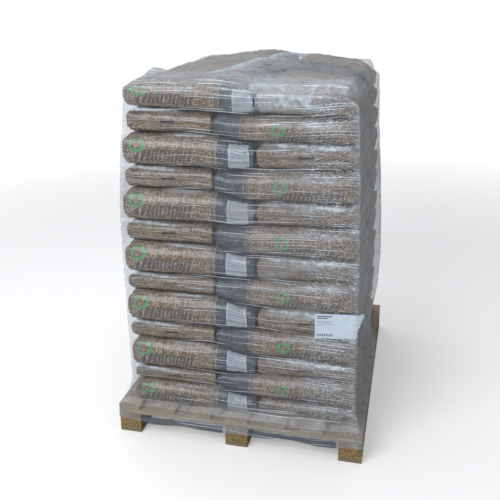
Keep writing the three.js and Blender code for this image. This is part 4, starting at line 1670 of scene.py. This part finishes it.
def make_film_streaks():
    inputs = {"Run": (VECTOR, None), "Row": (VALUE, LINE_ROW)}
    inputs.update({"Reach": (VALUE, LINE_REACH), "Slope": (VALUE, 0.0)})
    given, output = start_group("film_streaks", inputs, {"Line": VALUE, "Height": VALUE})
    run, height, _ = given["Run"].parts()
    sway = noise(vector_of(run * 1.5, height * 1.5), 1.6, 1.0) * 0.05
    rows = (height + sway + run * given["Slope"]) / given["Row"]
    row = rows.math("FLOOR")
    own = made(row.tree, "ShaderNodeTexWhiteNoise", None, row, noise_dimensions="1D", output="Value")
    off = abs(rows - row - 0.25 - 0.5 * own) * given["Row"]
    stretch = noise(vector_of(run / given["Reach"], row * 7.7), 1.0, 1.0)
    width = stretch.rise(0.46, 0.66) * LINE_HALF_WIDTH
    line = (off - width).rise(0.4 * MM, -1.2 * MM)
    drawn = vector_of(run / given["Reach"], rows)
    return end_group(output, Line=line, Height=noise(drawn, 1.0, 1.0, 0.4))


film_streaks = make_film_streaks()


# %% Film material
def make_film_material():
    material, tree, shader = start_material(
        "stretch_film", Roughness=0.2, Specular_IOR_Level=0.5, Coat_Roughness=0.08
    )
    run = map_place(tree, "film_run")
    highlight_and_milk, haze = mark(tree, "highlight_and_milk"), mark(tree, "haze")
    fine = use_group(film_streaks, Run=run)
    short = use_group(film_streaks, Run=run, Row=8 * MM, Reach=0.035, Slope=0.25)
    tangled = use_group(film_streaks, Run=run, Row=10 * MM, Reach=0.045, Slope=-0.35)
    lines = fine["Line"] * mark(tree, "streaks")
    crinkles = (short["Line"] + tangled["Line"] * 0.8) * mark(tree, "crinkle")
    milky = noise(run, 34.0, 4.0, 0.6).rise(0.3, 0.75)
    crumple = noise(run, 95.0, 3.0, 0.65).rise(0.52, 0.66) * mark(tree, "crinkle")
    # Painted highlights: creases, streak lines, crinkles and crumples are painted white, with milky patches
    # in the first mark.
    white = (highlight_and_milk * (0.45 + 0.55 * milky) + lines * 0.85 + crinkles * 0.5 + crumple * 0.5).clamp()
    veil = (haze * (0.72 + 0.5 * milky)).clamp()
    shade = mark(tree, "shade")
    # Painted shade: the shade mark darkens the veil towards a dark blue grey.
    veil_colour = blend(shade.rise(0.0, 1.0), (0.30, 0.31, 0.315), (0.050, 0.062, 0.080))
    # This white is the colour of the painted highlights.
    colour = blend(white, veil_colour, (0.55, 0.62, 0.70))
    plug(shader.inputs["Base Color"], colour)
    # Where the painted shade is full, in front of the fork openings, the film is also made nearly opaque: a
    # dark sheet standing in for the shadow under the pallet.
    opacity = 1.0 - (1.0 - veil * 0.85) * (1.0 - white * 0.85) * (1.0 - shade.rise(0.85, 1.0) * 0.8)
    plug(shader.inputs["Alpha"], (opacity + 0.02).clamp())
    plug(shader.inputs["Roughness"], 0.16 + 0.3 * veil)
    bumps = fine["Height"] * 0.4 * mark(tree, "streaks") + milky * 0.15
    bumps = bumps + (short["Height"] + tangled["Height"]) * 0.3 * mark(tree, "crinkle")
    add_bump(shader, bumps, 2.5 * MM, 0.6)
    return material


stretch_film = add_piece("stretch_film", stretch_data, make_film_material())
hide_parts("film_hood")

# %% [markdown]
# ## Sheet label
# A paper sheet is stuck to the film at the front right corner, a little askew. It takes the film's
# own surface, a little further out. Where the film turns the corner the sheet comes off it: its
# crumpled end sticks out to the right, flares upward and is torn away at the bottom.
# The print is generic: plain bars for lines of text and a row of even strokes.

# %% Label mesh
LABEL_SIZE = (0.210, 0.110)
LABEL_START_X, LABEL_BOTTOM, LABEL_RISE = 0.330, 0.547, 0.07
LABEL_CELLS = (70, 36)
LABEL_LIFT = 1.1 * MM
START_ROW, OUTWARD_ROW = 80, 100
LEAVES_FILM_AT, FREE_SWING, FREE_FLARE = 0.30, math.radians(17), 0.35


def film_place(run, height):
    """Point and outward direction on the film's wall at a run and height."""
    column = np.interp(run, wall_run, np.arange(COLUMNS + 1))
    i = int(column)
    share = column - i
    sides = []
    for c in (i % COLUMNS, (i + 1) % COLUMNS):
        row = np.interp(height, wall_z[c, :WALL_ROWS], np.arange(WALL_ROWS))
        j = min(int(row), WALL_ROWS - 2)
        sides.append(wall_points[c, j] * (1 - row + j) + wall_points[c, j + 1] * (row - j))
    outwards = wall_out[:, OUTWARD_ROW]
    out = outwards[i % COLUMNS] * (1 - share) + outwards[(i + 1) % COLUMNS] * share
    return sides[0] * (1 - share) + sides[1] * share, out / np.linalg.norm(out)


def make_label_data():
    random = np.random.default_rng(12)
    start_column = int(np.argmin(np.abs(wall_points[:CELLS_X, START_ROW, 0] - LABEL_START_X)))
    start_run = wall_run[start_column]
    across, up = LABEL_CELLS
    free_run = wall_run[int(np.argmax(wall_out[:, START_ROW, 0] > LEAVES_FILM_AT))] - start_run
    torn = np.linspace(-44, -4, 8) + random.uniform(-7, 7, 8)
    edge = np.interp(np.arange(up + 1), np.linspace(0, up, 8), torn) * MM
    points, sheet_places = [], []
    wrinkle = [random.uniform(0, 6, 4) for _ in range(2)]
    for i in range(across + 1):
        for j in range(up + 1):
            s, t = i / across, j / up
            run = s * (LABEL_SIZE[0] + edge[j] * s**4)
            free = max(run - free_run, 0.0)
            height = LABEL_BOTTOM + t * LABEL_SIZE[1] + LABEL_RISE * min(run, 0.17)
            place, out = film_place(start_run + run - free, height)
            place = place + np.array([math.cos(FREE_SWING), math.sin(FREE_SWING), FREE_FLARE * t]) * free
            crush = np.clip((s - 0.55) / 0.4, 0, 1) + 0.4 * np.clip(free / (20 * MM), 0, 1)
            wave = np.sin(90 * s + 14 * t + wrinkle[0][0]) * np.sin(21 * t - 9 * s + wrinkle[0][1])
            wave += 0.6 * np.sin(150 * s - 33 * t + wrinkle[1][0])
            lift = LABEL_LIFT + (0.9 * MM * crush + 0.15 * MM) * (1 + wave) * 0.8
            points.append((place[0] + out[0] * lift, place[1] + out[1] * lift, place[2]))
            sheet_places.append((s * LABEL_SIZE[0], t * LABEL_SIZE[1]))
    quads = corners_of(np.arange(len(points)).reshape(across + 1, up + 1)).reshape(-1, 4)
    return new_mesh("sheet_label", points, quads, label_mm=np.array(sheet_places)[quads.ravel()])


# %% Label material
TEXT_START, LINE_SOFT = 7, 0.3 * MM
TEXT_BARS = ((70, 97, 102), (52, 89, 93), (78, 77, 79), (64, 71, 73), (82, 65, 67), (40, 59, 61))
STROKES, STROKE_PITCH = (5, 74, 10, 22), 7.4 * MM


def make_label_material():
    material, tree, shader = start_material("label_paper", Specular_IOR_Level=0.3)
    across, up, _ = map_place(tree, "label_mm").parts()
    ink = 0.0 * across
    for right, low, high in TEXT_BARS:
        bar = across.inside(TEXT_START * MM, right * MM, LINE_SOFT)
        bar = bar * up.inside(low * MM, high * MM, LINE_SOFT)
        ink = ink.math("MAXIMUM", bar * (0.95 if high > 85 else 0.6))
    left, right, low, high = (value * MM for value in STROKES)
    strokes = (across / STROKE_PITCH).math("FRACT").inside(0.15, 0.65, 0.05)
    strokes = strokes * across.inside(left, right, LINE_SOFT) * up.inside(low, high, LINE_SOFT)
    ink = ink.math("MAXIMUM", strokes * 0.95)
    mottle = noise(map_place(tree, "label_mm"), 45.0, 3.0)
    # Painted shade in the folds of the crumpled right end of the sheet.
    crumple_shade = noise(map_place(tree, "label_mm"), 110.0, 3.0, 0.6).rise(0.42, 0.60)
    crumple_shade = crumple_shade * across.rise(0.15, 0.18) * 0.45
    paper = blend(mottle, (0.42, 0.50, 0.58), (0.52, 0.60, 0.68))
    paper = blend(crumple_shade, paper, (0.20, 0.25, 0.30))
    plug(shader.inputs["Base Color"], blend(ink, paper, (0.045, 0.06, 0.10)))
    plug(shader.inputs["Roughness"], 0.5 + 0.2 * mottle)
    add_bump(shader, mottle, 0.5 * MM, 0.5)
    return material


label = add_piece("sheet_label", make_label_data(), make_label_material())
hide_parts("film_label")
print("label faces", len(label.data.polygons))

# %% [markdown]
# ## Floor and light
# A plain pale floor carries the pallet. It glows a little, and more a few metres away, so that it runs
# into the white surround without an edge. The glow is only seen and throws no light back on the
# stack, which stood on darker ground. The light is that of an open sky: a broad soft lamp in front, from
# the left, a weaker one above, and a pale surround that fills the shadows. The right side gets the
# least of it.


# %% Floor
FLOOR_REACH = 400.0
GLOW_GROWS = (2.4, 7.0)


def make_floor():
    material, tree, shader = start_material("pale_floor", Roughness=0.9, Specular_IOR_Level=0.1)
    tint = noise(object_place(tree), 0.8, 2.0)
    plug(shader.inputs["Base Color"], blend(tint, (0.66, 0.66, 0.66), (0.68, 0.68, 0.68)))
    away = made(tree, "ShaderNodeVectorMath", object_place(tree), output="Value", operation="LENGTH")
    glow = away.rise(*GLOW_GROWS) * 0.40 + 0.26
    seen = made(tree, "ShaderNodeLightPath", output="Is Camera Ray")
    plug(shader.inputs["Emission Strength"], glow * seen)
    corners = np.array([(-1, -1, 0), (1, -1, 0), (1, 1, 0), (-1, 1, 0)]) * FLOOR_REACH
    floor = new_object("floor", new_mesh("floor", corners, [(0, 1, 2, 3)]))
    floor.data.materials.append(material)


def add_lamp(name, place, target, size, power, colour):
    lamp = bpy.data.lights.new(name, "AREA")
    lamp.shape, lamp.size, lamp.energy, lamp.color = "SQUARE", size, power, colour
    holder = new_object(name, lamp)
    holder.location = place
    holder.rotation_euler = (Vector(target) - Vector(place)).to_track_quat("-Z", "Y").to_euler()


make_floor()
add_lamp("sky_front", (-1.9, -4.5, 4.1), (0, 0, 0.7), 3.2, 250, (0.98, 0.98, 1.0))
add_lamp("sky_top", (-0.4, 0.6, 4.8), (0, 0, 0.8), 3.0, 76, (0.96, 0.98, 1.0))
scene.world = bpy.data.worlds.new("pale_surround")
scene.world.use_nodes = True
surround = scene.world.node_tree.nodes["Background"]
surround.inputs["Color"].default_value = (0.93, 0.96, 1.0, 1)
seen = made(scene.world.node_tree, "ShaderNodeLightPath", output="Is Camera Ray")
plug(surround.inputs["Strength"], seen * 0.57 + 0.55)
scene.view_settings.view_transform = "Standard"
print("floor and", len(bpy.data.lights), "lamps")
